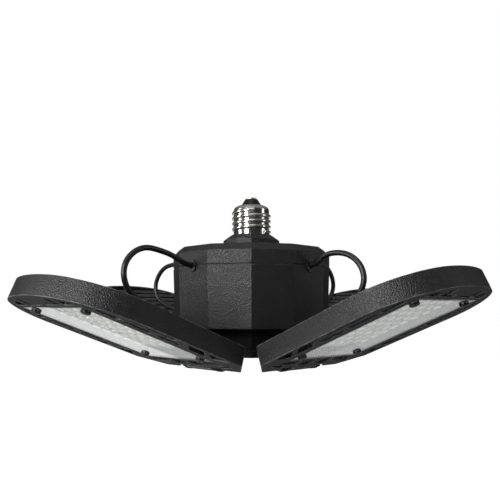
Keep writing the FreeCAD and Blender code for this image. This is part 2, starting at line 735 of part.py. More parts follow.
def web_slots():
    """Corners of the slots between the rim and the tray on one side of a panel."""
    rim = size("half_width") - size("rim_wall")
    tray = value(f"Sizes.cover_width / 2 + {TRAY_EDGE}")
    start = value(f"Sizes.cover_start - {TRAY_EDGE}")
    end = value(f"{COVER_END} + {TRAY_EDGE}")
    root = start - size("inner_edge") - size("rim_wall")

    def along(share):
        return start + (end - start) * share

    def across(share):
        return tray + (rim - tray) * share

    def beside_rim(first, last, low, high):
        """A slot along the rim whose outer edge keeps inside the rim where the rim bends inward."""
        shares = [last + (first - last) * step / SLOT_STEPS for step in range(SLOT_STEPS + 1)]
        edge = [(along(share), min(high, half_width_at(along(share), size("rim_wall")))) for share in shares]
        return [(along(first), low), (along(last), low)] + edge

    row_low, row_high = across(INNER_ROW[0]), across(INNER_ROW[1])
    outer_low, outer_high = across(OUTER_ROW[0]), across(OUTER_ROW[1])
    slots = [beside_rim(*OUTER_SLOT, outer_low, outer_high)]
    for low, high in ROW_SLOTS:
        slots.append(beside_rim(low, high, row_low, row_high))
    low, high = along(LEANING_SLOT[0]), along(LEANING_SLOT[1])
    lean = outer_high - row_low
    slots.append([(low, row_low), (high, row_low), (high + lean, outer_high), (low + lean, outer_high)])
    first, middle, last = [along(share) for share in CORNER_SLOT]
    slots.append([(first, outer_high), (middle, row_low), (last, outer_high)])
    for shares in ROOT_SLOTS:
        slots.append([(start - root * share, tray * side) for share, side in shares])
    for shares in TIP_SLOTS:
        slots.append([(end + (reach_at(tray * side, size("rim_wall")) - end) * share, tray * side)
                      for share, side in shares])
    return slots


def cover_screw_places():
    first = size("cover_start") + size("cover_screw_inset")
    last = value(COVER_END) - size("cover_screw_inset")
    side = size("cover_width") / 2 - size("cover_screw_side")
    return [(x, y) for x in (first, last) for y in (-side, side)]


def grommet_axis():
    """Where a cable enters the tray, in the panel's frame: a foot point and a direction."""
    lean = math.radians(size("grommet_lean"))
    return V(size("grommet_place"), 0, value(TRAY_TOP)), V(math.sin(lean), 0, math.cos(lean))


def make_panel_frame(name):
    body = new_body(f"panel_frame_{name}")
    block = draw_panel_outline(new_sketch(body, "rim_outline", "XY_Plane", PANEL_FACE), 0.0)
    pad(body, block, "Sizes.rim_height", taper="-Sizes.rim_draft")
    hollow = draw_panel_outline(new_sketch(body, "rim_inside", "XY_Plane", PANEL_TOP), size("rim_wall"))
    pocket(body, hollow, "Sizes.rim_height - Sizes.web_thickness")

    edge = value(TRAY_EDGE)
    start, half, stop = size("cover_start"), size("cover_width") / 2, value(COVER_END)
    tray = new_sketch(body, "tray", "XY_Plane", PANEL_FACE)
    draw_loop(tray, box_corners(start - edge, stop + edge, -half - edge, half + edge))
    pad(body, tray, "Sizes.cavity_depth + Sizes.tray_floor")

    bars = new_sketch(body, "bars", "XY_Plane", f"{PANEL_TOP} - Sizes.bar_depth")
    centre = size("bar_first")
    while centre + size("bar_width") / 2 < size("panel_reach") - size("rim_wall") - 4:
        low, high = centre - size("bar_width") / 2, centre + size("bar_width") / 2
        reach = min(half_width_at(low, size("rim_wall") * 0.6), half_width_at(high, size("rim_wall") * 0.6))
        draw_loop(bars, box_corners(low, high, -reach, reach))
        centre += size("bar_pitch")
    pad(body, bars, "Sizes.bar_depth - Sizes.bar_drop")

    foot, along = grommet_axis()
    well = new_sketch(body, "grommet_well", "XY_Plane", PANEL_TOP)
    well_x = foot.x + along.x / along.z * size("bar_depth") / 4
    well_radius = size("grommet_foot_radius") / along.z + size("well_margin")
    well.addGeometry(Part.Circle(V(well_x, 0, 0), V(0, 0, 1), well_radius))
    pocket(body, well, "Sizes.rim_height - Sizes.cavity_depth - Sizes.tray_floor")

    recess = new_sketch(body, "cover_recess", "XY_Plane", PANEL_FACE)
    gap = size("seat_gap")
    draw_loop(recess, box_corners(start - gap, stop + gap, -half - gap, half + gap))
    pocket(body, recess, "Sizes.cover_thickness", up=True)
    cavity = new_sketch(body, "cavity", "XY_Plane", PANEL_FACE)
    ledge = size("cover_ledge")
    draw_loop(cavity, box_corners(start + ledge, stop - ledge, -half + ledge, half - ledge))
    pocket(body, cavity, "Sizes.cavity_depth", up=True)
    bosses = new_sketch(body, "cover_bosses", "XY_Plane", COVER_SEAT)
    pilots = new_sketch(body, "cover_pilots", "XY_Plane", COVER_SEAT)
    for x, y in cover_screw_places():
        bosses.addGeometry(Part.Circle(V(x, y, 0), V(0, 0, 1), size("boss_radius")))
        pilots.addGeometry(Part.Circle(V(x, y, 0), V(0, 0, 1),
                                       size("cover_screw_radius") + size("running_gap")))
    pad(body, bosses, "Sizes.cavity_depth - Sizes.cover_thickness")
    pocket(body, pilots, "Sizes.cavity_depth - Sizes.cover_thickness", up=True)
    wires = new_sketch(body, "lead_hole", "XY_Plane", TRAY_TOP)
    wires.addGeometry(Part.Circle(V(foot.x, 0, 0), V(0, 0, 1), size("cable_radius")))
    pocket(body, wires, "Sizes.tray_floor")

    slots = new_sketch(body, "web_slots", "XY_Plane", PANEL_FACE)
    for corners in web_slots():
        draw_loop(slots, corners)
        draw_loop(slots, [(x, -y) for x, y in corners])
    pocket(body, slots, "Sizes.web_thickness", up=True)

    # The knuckle between the hub's ears, and the notches that the ears swing in.
    notch = new_sketch(body, "ear_notches", "XY_Plane", PANEL_TOP)
    knuckle_half = size("knuckle_width") / 2
    notch_side = value(f"{EAR_OUTER} + Sizes.nut_height + Sizes.nut_room")
    notch_reach = value("Sizes.ear_radius + Sizes.ear_room")
    for side in (1, -1):
        draw_loop(notch, box_corners(-notch_reach, notch_reach, side * knuckle_half, side * notch_side))
    pocket(body, notch)
    barrel = new_sketch(body, "knuckle", "XZ_Plane")
    draw_circle(barrel, "0", "0", "Sizes.knuckle_radius")
    pad(body, barrel, "Sizes.knuckle_width", midplane=True)
    arm = draw_bound(new_sketch(body, "knuckle_arm", "XZ_Plane"),
                     box_corners("0", "Sizes.inner_edge + Sizes.rim_wall", "-Sizes.knuckle_radius",
                                 "Sizes.knuckle_radius"))
    pad(body, arm, "Sizes.knuckle_width", midplane=True)
    bore = new_sketch(body, "knuckle_bore", "XZ_Plane")
    draw_circle(bore, "0", "0", BORE)
    pocket(body, bore, "Sizes.knuckle_width + 1", midplane=True)
    body.Placement = panel_placement(name)
    return body


def make_cover_lens(name):
    body = new_body(f"cover_lens_{name}")
    half = "Sizes.cover_width / 2"
    sheet = draw_bound(new_sketch(body, "cover_sheet", "XY_Plane", PANEL_FACE),
                       box_corners("Sizes.cover_start", COVER_END, f"-{half}", half))
    pad(body, sheet, "Sizes.cover_thickness")
    holes = new_sketch(body, "cover_holes", "XY_Plane", COVER_SEAT)
    for x, y in cover_screw_places():
        holes.addGeometry(Part.Circle(V(x, y, 0), V(0, 0, 1), size("cover_screw_radius") + size("seat_gap")))
    pocket(body, holes)
    body.Placement = panel_placement(name)
    return body


def make_cover_screws(name):
    label = f"cover_screws_{name}"
    places = [(str(x), str(y)) for x, y in cover_screw_places()]
    made = screws(label, places, PANEL_FACE, "Sizes.cavity_depth - Sizes.screw_end_gap",
                  "Sizes.cover_screw_head_radius", "Sizes.cover_screw_head_height",
                  "Sizes.cover_screw_radius", True)
    made.Placement = panel_placement(name)
    return made


def make_led_board(name):
    body = new_body(f"led_board_{name}")
    plate = draw_bound(new_sketch(body, "board_plate", "XY_Plane", BOARD_FACE),
                       box_corners(BOARD_START, BOARD_END, f"-{BOARD_HALF}", BOARD_HALF))
    pad(body, plate, "Sizes.board_thickness")
    body.Placement = panel_placement(name)
    return body


def make_led_chips(name):
    """Rows of square light-emitting chips, as many as the board's face has room for."""
    room_along = value(f"{BOARD_END} - {BOARD_START} - 2 * Sizes.chip_margin - Sizes.chip_length")
    room_across = value(f"2 * {BOARD_HALF} - 2 * Sizes.chip_margin - Sizes.chip_width")
    columns = 1 + int(room_along / size("chip_pitch"))
    rows = 1 + int(room_across / size("chip_row_pitch"))
    first = value(f"({BOARD_START} + {BOARD_END}) / 2") - (columns - 1) * size("chip_pitch") / 2
    side = -(rows - 1) * size("chip_row_pitch") / 2
    low = value(f"{BOARD_FACE} - Sizes.chip_height")
    chips = []
    for column in range(columns):
        for row in range(rows):
            x = first + column * size("chip_pitch") - size("chip_length") / 2
            y = side + row * size("chip_row_pitch") - size("chip_width") / 2
            chips.append(Part.makeBox(size("chip_length"), size("chip_width"), size("chip_height"),
                                      V(x, y, low)))
    made = doc.addObject("Part::Feature", f"led_chips_{name}")
    made.Label = f"led_chips_{name}"
    made.Shape = Part.makeCompound(chips)
    made.Placement = panel_placement(name)
    return made


# ---- cables ----

# Each cable's corners outside the seam: radius, and height above the seam.
CABLE_CORNERS = {
    "right": ((55.5, 0), (63.0, 6.2), (73.0, 7.0), (82.0, 4.6), (88.8, -1.2), (91.6, -9.0), (89.4, -16.4),
              (83.4, -21.8), (76.6, -26.4)),
    "back": ((56.0, 0), (64.5, 6.0), (74.3, 8.2), (83.7, 6.4), (90.4, -0.2), (93.0, -8.6), (89.8, -16.2),
             (83.4, -21.6), (76.4, -26.2)),
    "left": ((57.0, 0), (67.0, 5.4), (78.0, 8.2), (89.0, 8.2), (99.0, 6.4), (107.0, 0.8), (111.6, -7.0),
             (110.4, -15.6), (103.6, -21.4), (93.8, -25.0), (82.6, -27.4)),
    "front": ((56.5, 0), (66.0, 5.2), (76.5, 7.9), (86.5, 9.2), (95.0, 5.6), (100.5, -1.2), (101.3, -9.4),
              (97.7, -17.2), (90.0, -22.6), (80.6, -25.6)),
}


def cable_route(name):
    """The corners of one cable's route, from inside the seam to the back of its panel."""
    spin = FreeCAD.Rotation(V(0, 0, 1), AZIMUTHS[name])
    seam = value(SEAM)
    route = [spin.multVec(V(radius, 0, seam + height))
             for radius, height in ((size("cable_start"), 0),) + CABLE_CORNERS[name]]
    foot, along = grommet_axis()
    for distance in (size("cable_tail"), size("cable_end")):
        route.append(panel_placement(name).multVec(foot + along * distance))
    return route


def tube(points, radius, name):
    """A round tube along straight runs joined by tangent arcs as large as the runs allow."""
    edges = []
    at = points[0]
    tightest = None
    for before, here, after in zip(points, points[1:], points[2:]):
        back, on = (before - here), (after - here)
        turn = math.pi - back.getAngle(on)
        trim = 0.45 * min(back.Length, on.Length)
        bend = trim / math.tan(turn / 2)
        tightest = bend if tightest is None else min(tightest, bend)
        enter = here + back.normalize() * trim
        leave = here + on.normalize() * trim
        inward = (back + on).normalize()
        centre_gap = math.hypot(bend, trim)
        middle = here + inward * (centre_gap - bend)
        edges.append(Part.LineSegment(at, enter).toShape())
        edges.append(Part.Arc(enter, middle, leave).toShape())
        at = leave
    edges.append(Part.LineSegment(at, points[-1]).toShape())
    path = Part.Wire(edges)
    start = (points[1] - points[0]).normalize()
    section = Part.Wire(Part.makeCircle(radius, points[0], start))
    solid = path.makePipeShell([section], True, False)
    expected = math.pi * radius ** 2 * path.Length
    print(f"{name}: length {path.Length:.1f}, tightest bend {tightest:.1f}, "
          f"volume {solid.Volume / expected:.4f} of section times length")
    return solid


def make_panel_cable(name):
    made = doc.addObject("Part::Feature", f"panel_cable_{name}")
    made.Label = f"panel_cable_{name}"
    made.Shape = tube(cable_route(name), size("cable_radius"), made.Label)
    return made


def make_cable_collars():
    """Collars in the seam holes, each with a flange outside the wall."""
    made = []
    flat = value(SEAM_FLAT)
    inner = value("Sizes.body_wall + Sizes.collar_reach")
    for name, turn in AZIMUTHS.items():
        spin = FreeCAD.Rotation(V(0, 0, 1), turn)
        out = spin.multVec(V(1, 0, 0))
        centre = V(0, 0, value(SEAM))
        sleeve = Part.makeCylinder(size("collar_radius"), inner + size("collar_flange"),
                                   centre + out * (flat - inner), out)
        flange = Part.makeCylinder(size("collar_flange_radius"), size("collar_flange"),
                                   centre + out * flat, out)
        hole = Part.makeCylinder(value(CABLE_BORE), inner * 3, centre + out * (flat - inner * 2), out)
        made.append(sleeve.fuse(flange).removeSplitter().cut(hole))
    collars = doc.addObject("Part::Feature", "cable_collars")
    collars.Label = "cable_collars"
    collars.Shape = Part.makeCompound(made)
    return collars


def make_cable_grommet(name):
    """A leaning rubber cone on the panel's back, cut flat where it sits on the tray."""
    foot, along = grommet_axis()
    buried = size("grommet_foot_radius") * 1.5
    cone = Part.makeCone(size("grommet_foot_radius"), size("grommet_tip_radius"),
                         size("grommet_length") + buried, foot - along * buried, along)
    hole = Part.makeCylinder(value(CABLE_BORE), size("grommet_length") + buried * 3,
                             foot - along * buried * 1.5, along)
    seat = value(TRAY_TOP)
    reach = 4 * size("grommet_foot_radius")
    below = Part.makeBox(2 * reach, 2 * reach, reach, V(foot.x - reach, -reach, seat - reach))
    made = doc.addObject("Part::Feature", f"cable_grommet_{name}")
    made.Label = f"cable_grommet_{name}"
    made.Shape = cone.cut(hole).cut(below)
    made.Placement = panel_placement(name)
    return made


# ---- driver ----

# Where the parts stand on the driver board.
CAN_PLACES = ((23, 9), (23, -6))
SMALL_CAN_PLACE = (-24, -10)
CHOKE_PLACE = (-20.5, 8.5)
BRIDGE_PLACE = (0, 24)
TRANSISTOR_PLACE = (0, -21.75)
CONTROLLER_PLACES = ((-11.5, -28), (10.5, -28), (8.5, 32))
FUSE_PLACE = (-12, 28)
SOCKET_PLACES = ((33, 0), (0, 34), (-32, 0), (0, -33))
BOARD_TOP = f"({BOARD_SEAT} + Sizes.board_thickness)"


def board_block(name, place, length, width, height, rise="0"):
    """A block centred over a place on the driver board."""
    x, y = place
    return bound(doc.addObject("Part::Box", name), Length=length, Width=width, Height=height,
                 Placement__Base__x=f"{x} - ({length}) / 2", Placement__Base__y=f"{y} - ({width}) / 2",
                 Placement__Base__z=f"{BOARD_TOP} + {rise}")


def board_can(name, place, radius, height):
    """An upright round part on the driver board."""
    x, y = place
    return bound(doc.addObject("Part::Cylinder", name), Radius=radius, Height=height,
                 Placement__Base__x=str(x), Placement__Base__y=str(y), Placement__Base__z=BOARD_TOP)


def less(name, block, tool):
    """One part with another cut out of it."""
    made = doc.addObject("Part::Cut", name)
    made.Base = block
    made.Tool = tool
    return made


def make_driver_board():
    body = new_body("driver_board")
    disc = new_sketch(body, "board_disc", "XY_Plane", BOARD_SEAT)
    draw_circle(disc, "0", "0", "Sizes.cap_screw_circle - Sizes.post_radius - Sizes.board_margin")
    for turn in (45, 135, 225, 315):
        draw_circle(disc, *around("Sizes.standoff_circle", turn), "Sizes.screw_radius + Sizes.seat_gap")
    pad(body, disc, "Sizes.board_thickness")
    return body


def make_transformer():
    window_length = "(Sizes.core_length - 2 * Sizes.core_leg)"
    window_height = "(Sizes.core_height - 2 * Sizes.core_yoke)"
    winding = board_block("transformer_winding", (0, 0), f"{window_length} - 2 * Sizes.winding_gap",
                          "Sizes.winding_width", f"{window_height} - 2 * Sizes.winding_gap",
                          "Sizes.core_yoke + Sizes.winding_gap")
    block = board_block("core_block", (0, 0), "Sizes.core_length", "Sizes.core_width", "Sizes.core_height")
    window = board_block("core_window", (0, 0), window_length, "Sizes.core_width * 2", window_height,
                         "Sizes.core_yoke")
    return [winding, less("transformer_core", block, window)]


def make_driver_parts():
    """The larger components of the driver, standing on its board."""
    cans = [board_can(f"can_{index}", place, "Sizes.can_radius", "Sizes.can_height")
            for index, place in enumerate(CAN_PLACES)]
    cans.append(board_can("small_can", SMALL_CAN_PLACE, "Sizes.small_can_radius", "Sizes.small_can_height"))
    coil = board_can("choke_coil", CHOKE_PLACE, "Sizes.choke_radius", "Sizes.choke_height")
    bore = board_can("choke_hole", CHOKE_PLACE, "Sizes.choke_bore", "Sizes.choke_height * 2")
    bridge = board_block("bridge_rectifier", BRIDGE_PLACE, "Sizes.bridge_length", "Sizes.bridge_depth",
                         "Sizes.bridge_height")
    transistor = board_block("switching_transistor", TRANSISTOR_PLACE, "Sizes.transistor_length",
                             "Sizes.transistor_depth", "Sizes.transistor_height")
    controllers = [board_block(f"controller_{index}", place, "Sizes.controller_length",
                               "Sizes.controller_width", "Sizes.controller_height")
                   for index, place in enumerate(CONTROLLER_PLACES)]
    fuse = board_can("line_fuse", FUSE_PLACE, "Sizes.fuse_radius", "Sizes.fuse_height")
    sockets = [board_block(f"socket_{index}", place, *("Sizes.socket_side",) * 3)
               for index, place in enumerate(SOCKET_PLACES)]
    return [group("driver_capacitors", cans), less("input_choke", coil, bore), bridge, transistor,
            group("controller_chips", controllers), fuse, group("output_sockets", sockets)]


def make_leads():
    """Insulated leads inside the body: live, neutral and the four outputs."""
    board, stem_end, wire = value(BOARD_TOP), value(STEM_END), size("mains_wire_radius")
    live = doc.addObject("Part::Feature", "live_lead")
    live.Label = "live_lead"
    live.Shape = tube([V(0, 0, stem_end), V(0, 0, stem_end - 15), V(0, 4, board + 37.6),
                       V(1, 13, board + 26.6), V(0.5, 16, board + 15.6), V(0.5, 16, board)],
                      wire, "live_lead")
    neutral = doc.addObject("Part::Feature", "neutral_lead")
    neutral.Label = "neutral_lead"
    inner = value(f"{SHELL_CORE} - Sizes.shell_wall - Sizes.running_gap")
    top = value(f"{SHELL_FOOT} + Sizes.spigot_height")
    neutral.Shape = tube([V(-inner, 0, top + 1.2), V(-inner + 4, 0, top + 1.2), V(-6, 0.4, top - 4),
                          V(-5.6, 0.2, top - 12), V(-5.6, 2, board + 38.6), V(-6, 13, board + 26.6),
                          V(-6.2, 16, board + 15.6), V(-6.2, 16, board)], wire, "neutral_lead")
    outputs = doc.addObject("Part::Feature", "output_leads")
    outputs.Label = "output_leads"
    start = size("cable_start")
    seam = value(SEAM)
    solids = []
    for turn in AZIMUTHS.values():
        spin = FreeCAD.Rotation(V(0, 0, 1), turn)
        route = [V(start, 0, seam), V(start - 5, 0, seam), V(start - 10, 0, seam - 4),
                 V(start - 13, 0, seam - 12), V(start - 13, 0, board + 6)]
        corners = [spin.multVec(point) for point in route]
        solids.append(tube(corners, size("output_wire_radius"), "output_lead"))
    outputs.Shape = Part.makeCompound(solids)
    return [live, neutral, outputs]


# ---- build, check and write ----

nodes = [make_centre_contact(), make_base_insulator(), make_screw_shell(), make_upper_cap(),
         make_driver_housing(), make_hinge_hub(), make_cap_screws(), make_board_screws(), make_hub_screws(),
         make_hinge_pins(), make_hinge_nuts(), make_friction_washers(), make_cable_collars(),
         make_driver_board()]
nodes += make_transformer() + make_driver_parts() + make_leads()
for panel in AZIMUTHS:
    nodes.append(make_panel_frame(panel))
    nodes.append(make_cover_lens(panel))
    nodes.append(make_cover_screws(panel))
    nodes.append(make_led_board(panel))
    nodes.append(make_led_chips(panel))
    nodes.append(make_cable_grommet(panel))
    nodes.append(make_panel_cable(panel))
doc.recompute()

for thing in doc.Objects:
    if "Invalid" in thing.State or "Error" in thing.State:
        raise RuntimeError(f"{thing.Label} failed: {thing.State}")
for node in nodes:
    if node.Shape.isNull() or not node.Shape.isValid():
        raise RuntimeError(f"{node.Label} has no valid shape")

os.makedirs("parts", exist_ok=True)
for node in nodes:
    node.Shape.exportStep(f"parts/{node.Label}.step")
    print(f"{node.Label}: {len(node.Shape.Solids)} solids, {node.Shape.Volume:.0f} mm3")
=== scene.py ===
import json
import math
import random

import bmesh
import bpy
from mathutils import Matrix, Vector


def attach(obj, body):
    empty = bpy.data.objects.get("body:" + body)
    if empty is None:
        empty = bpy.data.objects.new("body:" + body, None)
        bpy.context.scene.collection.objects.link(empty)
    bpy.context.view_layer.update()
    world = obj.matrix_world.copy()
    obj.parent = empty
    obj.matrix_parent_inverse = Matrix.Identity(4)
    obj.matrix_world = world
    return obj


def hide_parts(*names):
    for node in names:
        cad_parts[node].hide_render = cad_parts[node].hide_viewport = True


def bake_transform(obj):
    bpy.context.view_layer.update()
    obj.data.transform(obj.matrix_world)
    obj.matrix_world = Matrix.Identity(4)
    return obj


# Finishes, camera and small fittings for the folding four-panel garage light.
# Lengths are in metres unless a name ends in _MM.

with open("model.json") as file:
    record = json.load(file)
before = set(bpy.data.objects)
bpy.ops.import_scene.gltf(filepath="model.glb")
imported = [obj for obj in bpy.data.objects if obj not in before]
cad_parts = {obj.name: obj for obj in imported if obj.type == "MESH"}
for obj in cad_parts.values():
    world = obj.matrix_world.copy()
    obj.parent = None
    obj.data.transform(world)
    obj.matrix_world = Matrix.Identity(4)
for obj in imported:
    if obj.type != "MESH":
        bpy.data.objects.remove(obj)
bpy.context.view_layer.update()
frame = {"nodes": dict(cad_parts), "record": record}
random.seed(11)

MM = 0.001
# The azimuth of each panel in degrees.
SIDES = {"right": 0.0, "back": 90.0, "left": 180.0, "front": 270.0}

# ---- camera: level with the upper part of the panels, between the front and the right one ----

CAMERA_PLACE = Vector((0.2773, -0.2773, -0.0753))
CAMERA_TURN = (90.0, 0.0, 45.0)
CAMERA_SHIFT = (-0.0028, 0.1168)
FILM_WIDTH_MM = 36.0
FOCAL_LENGTH_MM = 41.28

camera_data = bpy.data.cameras.new("camera")
camera_data.sensor_width = FILM_WIDTH_MM
camera_data.lens = FOCAL_LENGTH_MM
camera_data.shift_x, camera_data.shift_y = CAMERA_SHIFT
camera = bpy.data.objects.new("camera", camera_data)
bpy.context.scene.collection.objects.link(camera)
camera.location = CAMERA_PLACE
camera.rotation_euler = [math.radians(angle) for angle in CAMERA_TURN]
bpy.context.scene.camera = camera


# ---- node helpers ----

FLOAT, COLOUR, VECTOR = "NodeSocketFloat", "NodeSocketColor", "NodeSocketVector"
# The sockets of a colour Mix node, by number.
MIX_FACTOR, MIX_FIRST, MIX_SECOND, MIX_RESULT = 0, 6, 7, 2


def rgb(red, green, blue):
    return (red, green, blue, 1.0)


def grey(level):
    return rgb(level, level, level)


def add_node(tree, kind, place, **settings):
    """One shader node; settings are properties of the node."""
    node = tree.nodes.new(kind)
    node.location = place
    for key, setting in settings.items():
        setattr(node, key, setting)
    return node


def wire(tree, given, target):
    """Links a socket to the target, or sets the target to a given number or colour."""
    if isinstance(given, bpy.types.NodeSocket):
        tree.links.new(given, target)
    else:
        target.default_value = given


def new_group(name, inputs, outputs):
    """A shader group with named sockets; inputs are (name, kind, default), outputs (name, kind)."""
    tree = bpy.data.node_groups.new(name, "ShaderNodeTree")
    for label, kind, default in inputs:
        socket = tree.interface.new_socket(name=label, in_out="INPUT", socket_type=kind)
        socket.default_value = default
    for label, kind in outputs:
        tree.interface.new_socket(name=label, in_out="OUTPUT", socket_type=kind)
    entry = add_node(tree, "NodeGroupInput", (-900, 0))
    leave = add_node(tree, "NodeGroupOutput", (900, 0))
    return tree, entry, leave


def put_out(tree, leave, **results):
    """Links the results of a group to its named outputs."""
    for label, result in results.items():
        wire(tree, result, leave.inputs[label])


def place_group(tree, group, place, **inputs):
    """A shared effect in a material, with a value or a socket for each input."""
    node = add_node(tree, "ShaderNodeGroup", place, node_tree=group)
    for label, given in inputs.items():
        wire(tree, given, node.inputs[label])
    return node


def maths(tree, operation, first, second, place, clamp=False):
    """A Math node whose two inputs are numbers or sockets."""
    node = add_node(tree, "ShaderNodeMath", place, operation=operation, use_clamp=clamp)
    wire(tree, first, node.inputs[0])
    wire(tree, second, node.inputs[1])
    return node.outputs[0]


def remap(tree, given, low, high, to_low, to_high, place):
    """A Map Range node, held within its new range."""
    node = add_node(tree, "ShaderNodeMapRange", place)
    wire(tree, given, node.inputs["Value"])
    for label, number in (("From Min", low), ("From Max", high), ("To Min", to_low), ("To Max", to_high)):
        wire(tree, number, node.inputs[label])
    return node.outputs["Result"]


def blend_colours(tree, factor, first, second, place):
    node = add_node(tree, "ShaderNodeMix", place, data_type="RGBA")
    for index, given in ((MIX_FACTOR, factor), (MIX_FIRST, first), (MIX_SECOND, second)):
        wire(tree, given, node.inputs[index])
    return node.outputs[MIX_RESULT]


def scaled_colour(tree, colour, gain, place):
    node = add_node(tree, "ShaderNodeVectorMath", place, operation="SCALE")
    wire(tree, colour, node.inputs[0])
    wire(tree, gain, node.inputs["Scale"])
    return node.outputs[0]


def object_place(tree, place):
    return add_node(tree, "ShaderNodeTexCoord", place).outputs["Object"]


def noise(tree, where, scale, detail, place):
    node = add_node(tree, "ShaderNodeTexNoise", place)
    wire(tree, where, node.inputs["Vector"])
    wire(tree, scale, node.inputs["Scale"])
    wire(tree, detail, node.inputs["Detail"])
    return node.outputs["Fac"]


def height_of(tree, vector, place):
    """The Z part of a direction: 1 straight up, -1 straight down."""
    split = add_node(tree, "ShaderNodeSeparateXYZ", place)
    wire(tree, vector, split.inputs[0])
    return split.outputs["Z"]


def upward_share(tree):
    """How far a surface faces up: 1 on top, -1 underneath."""
    geometry = add_node(tree, "ShaderNodeNewGeometry", (-700, 100))
    return height_of(tree, geometry.outputs["Normal"], (-500, 100))


# ---- shared effects ----

# Painted shade: the colour towards which faces that look down are darkened.
UNDERSIDE_PAINTED_SHADE = grey(0.003)


def build_pebble_group():
    """The fine pebbled skin of the castings: rounded grains with worn tops."""
    tree, entry, leave = new_group(
        "pebbled_skin",
        [("Colour", COLOUR, grey(0.03)), ("Grain", FLOAT, 1100.0), ("Shade", FLOAT, 0.35),
         ("Roughness", FLOAT, 0.55)],
        [("Colour", COLOUR), ("Roughness", FLOAT), ("Height", FLOAT)])
    where = object_place(tree, (-1200, 0))
    grains = add_node(tree, "ShaderNodeTexVoronoi", (-700, 200), feature="SMOOTH_F1")
    wire(tree, where, grains.inputs["Vector"])
    wire(tree, entry.outputs["Grain"], grains.inputs["Scale"])
    wire(tree, 0.7, grains.inputs["Smoothness"])
    tops = remap(tree, grains.outputs["Distance"], 0.15, 0.6, 1.0, 0.0, (-450, 200))
    fine = noise(tree, where, entry.outputs["Grain"], 3.0, (-700, -50))
    pits = maths(tree, "MULTIPLY", fine, 0.7, (-450, -50))
    height = maths(tree, "ADD", tops, pits, (-200, 150))
    speckle = remap(tree, height, 0.5, 1.3, -1.0, 1.0, (-50, 100))
    broad = noise(tree, where, 38.0, 4.0, (-700, -300))
    cloud = remap(tree, broad, 0.35, 0.65, -0.35, 0.35, (-450, -300))
    unevenness = maths(tree, "ADD", speckle, cloud, (100, 0))
    swing = maths(tree, "MULTIPLY", unevenness, entry.outputs["Shade"], (250, 0))
    gain = maths(tree, "ADD", swing, 1.0, (400, 0))
    tone = scaled_colour(tree, entry.outputs["Colour"], gain, (560, 100))
    polish = maths(tree, "MULTIPLY", speckle, 0.08, (400, -200))
    rough = maths(tree, "SUBTRACT", entry.outputs["Roughness"], polish, (560, -150), clamp=True)
    put_out(tree, leave, Colour=tone, Roughness=rough, Height=height)
    return tree


def build_edge_group():
    """Rounds the sharp edges for the light, and marks edges to be lightened in colour: partly rubbed wear,
    partly painted highlight.
    """
    tree, entry, leave = new_group(
        "softened_edges",
        [("Radius", FLOAT, 0.0006), ("Rub", FLOAT, 1.0)],
        [("Normal", VECTOR), ("Mask", FLOAT)])
    bevel = add_node(tree, "ShaderNodeBevel", (-500, 100), samples=6)
    wire(tree, entry.outputs["Radius"], bevel.inputs["Radius"])
    flat = add_node(tree, "ShaderNodeNewGeometry", (-500, -150))
    dot = add_node(tree, "ShaderNodeVectorMath", (-250, 0), operation="DOT_PRODUCT")
    wire(tree, bevel.outputs[0], dot.inputs[0])
    wire(tree, flat.outputs["Normal"], dot.inputs[1])
    edge = remap(tree, dot.outputs["Value"], 0.99, 0.8, 0.0, 1.0, (0, 0))
    patches = noise(tree, object_place(tree, (-500, -400)), 240.0, 5.0, (-250, -300))
    broken = remap(tree, patches, 0.4, 0.62, 0.25, 1.0, (0, -300))
    # Edges to lighten: partly rubbed wear, partly painted highlight.
    worn_and_highlighted = maths(tree, "MULTIPLY", edge, broken, (250, -100))
    mask = maths(tree, "MULTIPLY", worn_and_highlighted, entry.outputs["Rub"], (450, -100), clamp=True)
    put_out(tree, leave, Normal=bevel.outputs[0], Mask=mask)
    return tree


def build_dust_group():
    """Faint dust that settles on upward faces, thicker in patches."""
    tree, entry, leave = new_group(
        "settled_dust", [("Amount", FLOAT, 0.2)], [("Mask", FLOAT)])
    facing = remap(tree, upward_share(tree), 0.2, 1.0, 0.0, 1.0, (-300, 100))
    patches = noise(tree, object_place(tree, (-900, -200)), 90.0, 6.0, (-600, -200))
    drift = remap(tree, patches, 0.42, 0.7, 0.1, 1.0, (-300, -200))
    settled = maths(tree, "MULTIPLY", facing, drift, (0, 0))
    mask = maths(tree, "MULTIPLY", settled, entry.outputs["Amount"], (200, 0), clamp=True)
    put_out(tree, leave, Mask=mask)
    return tree


def build_underside_shade_group():
    """Keeps the faces that look down dull, and darkens their colour as painted shade."""
    tree, entry, leave = new_group(
        "underside_shade", [("Colour", COLOUR, grey(0.01)), ("Roughness", FLOAT, 0.4), ("Dull", FLOAT, 0.9)],
        [("Colour", COLOUR), ("Roughness", FLOAT)])
    shaded_below = remap(tree, upward_share(tree), -0.35, -0.75, 0.0, 1.0, (-300, 100))
    # Painted shade: faces that look down take the darker colour.
    tone = blend_colours(tree, shaded_below, entry.outputs["Colour"], UNDERSIDE_PAINTED_SHADE, (0, 100))
    rise = maths(tree, "SUBTRACT", entry.outputs["Dull"], entry.outputs["Roughness"], (-300, -200))
    added = maths(tree, "MULTIPLY", shaded_below, rise, (0, -200))
    rough = maths(tree, "ADD", added, entry.outputs["Roughness"], (250, -200), clamp=True)
    put_out(tree, leave, Colour=tone, Roughness=rough)
    return tree


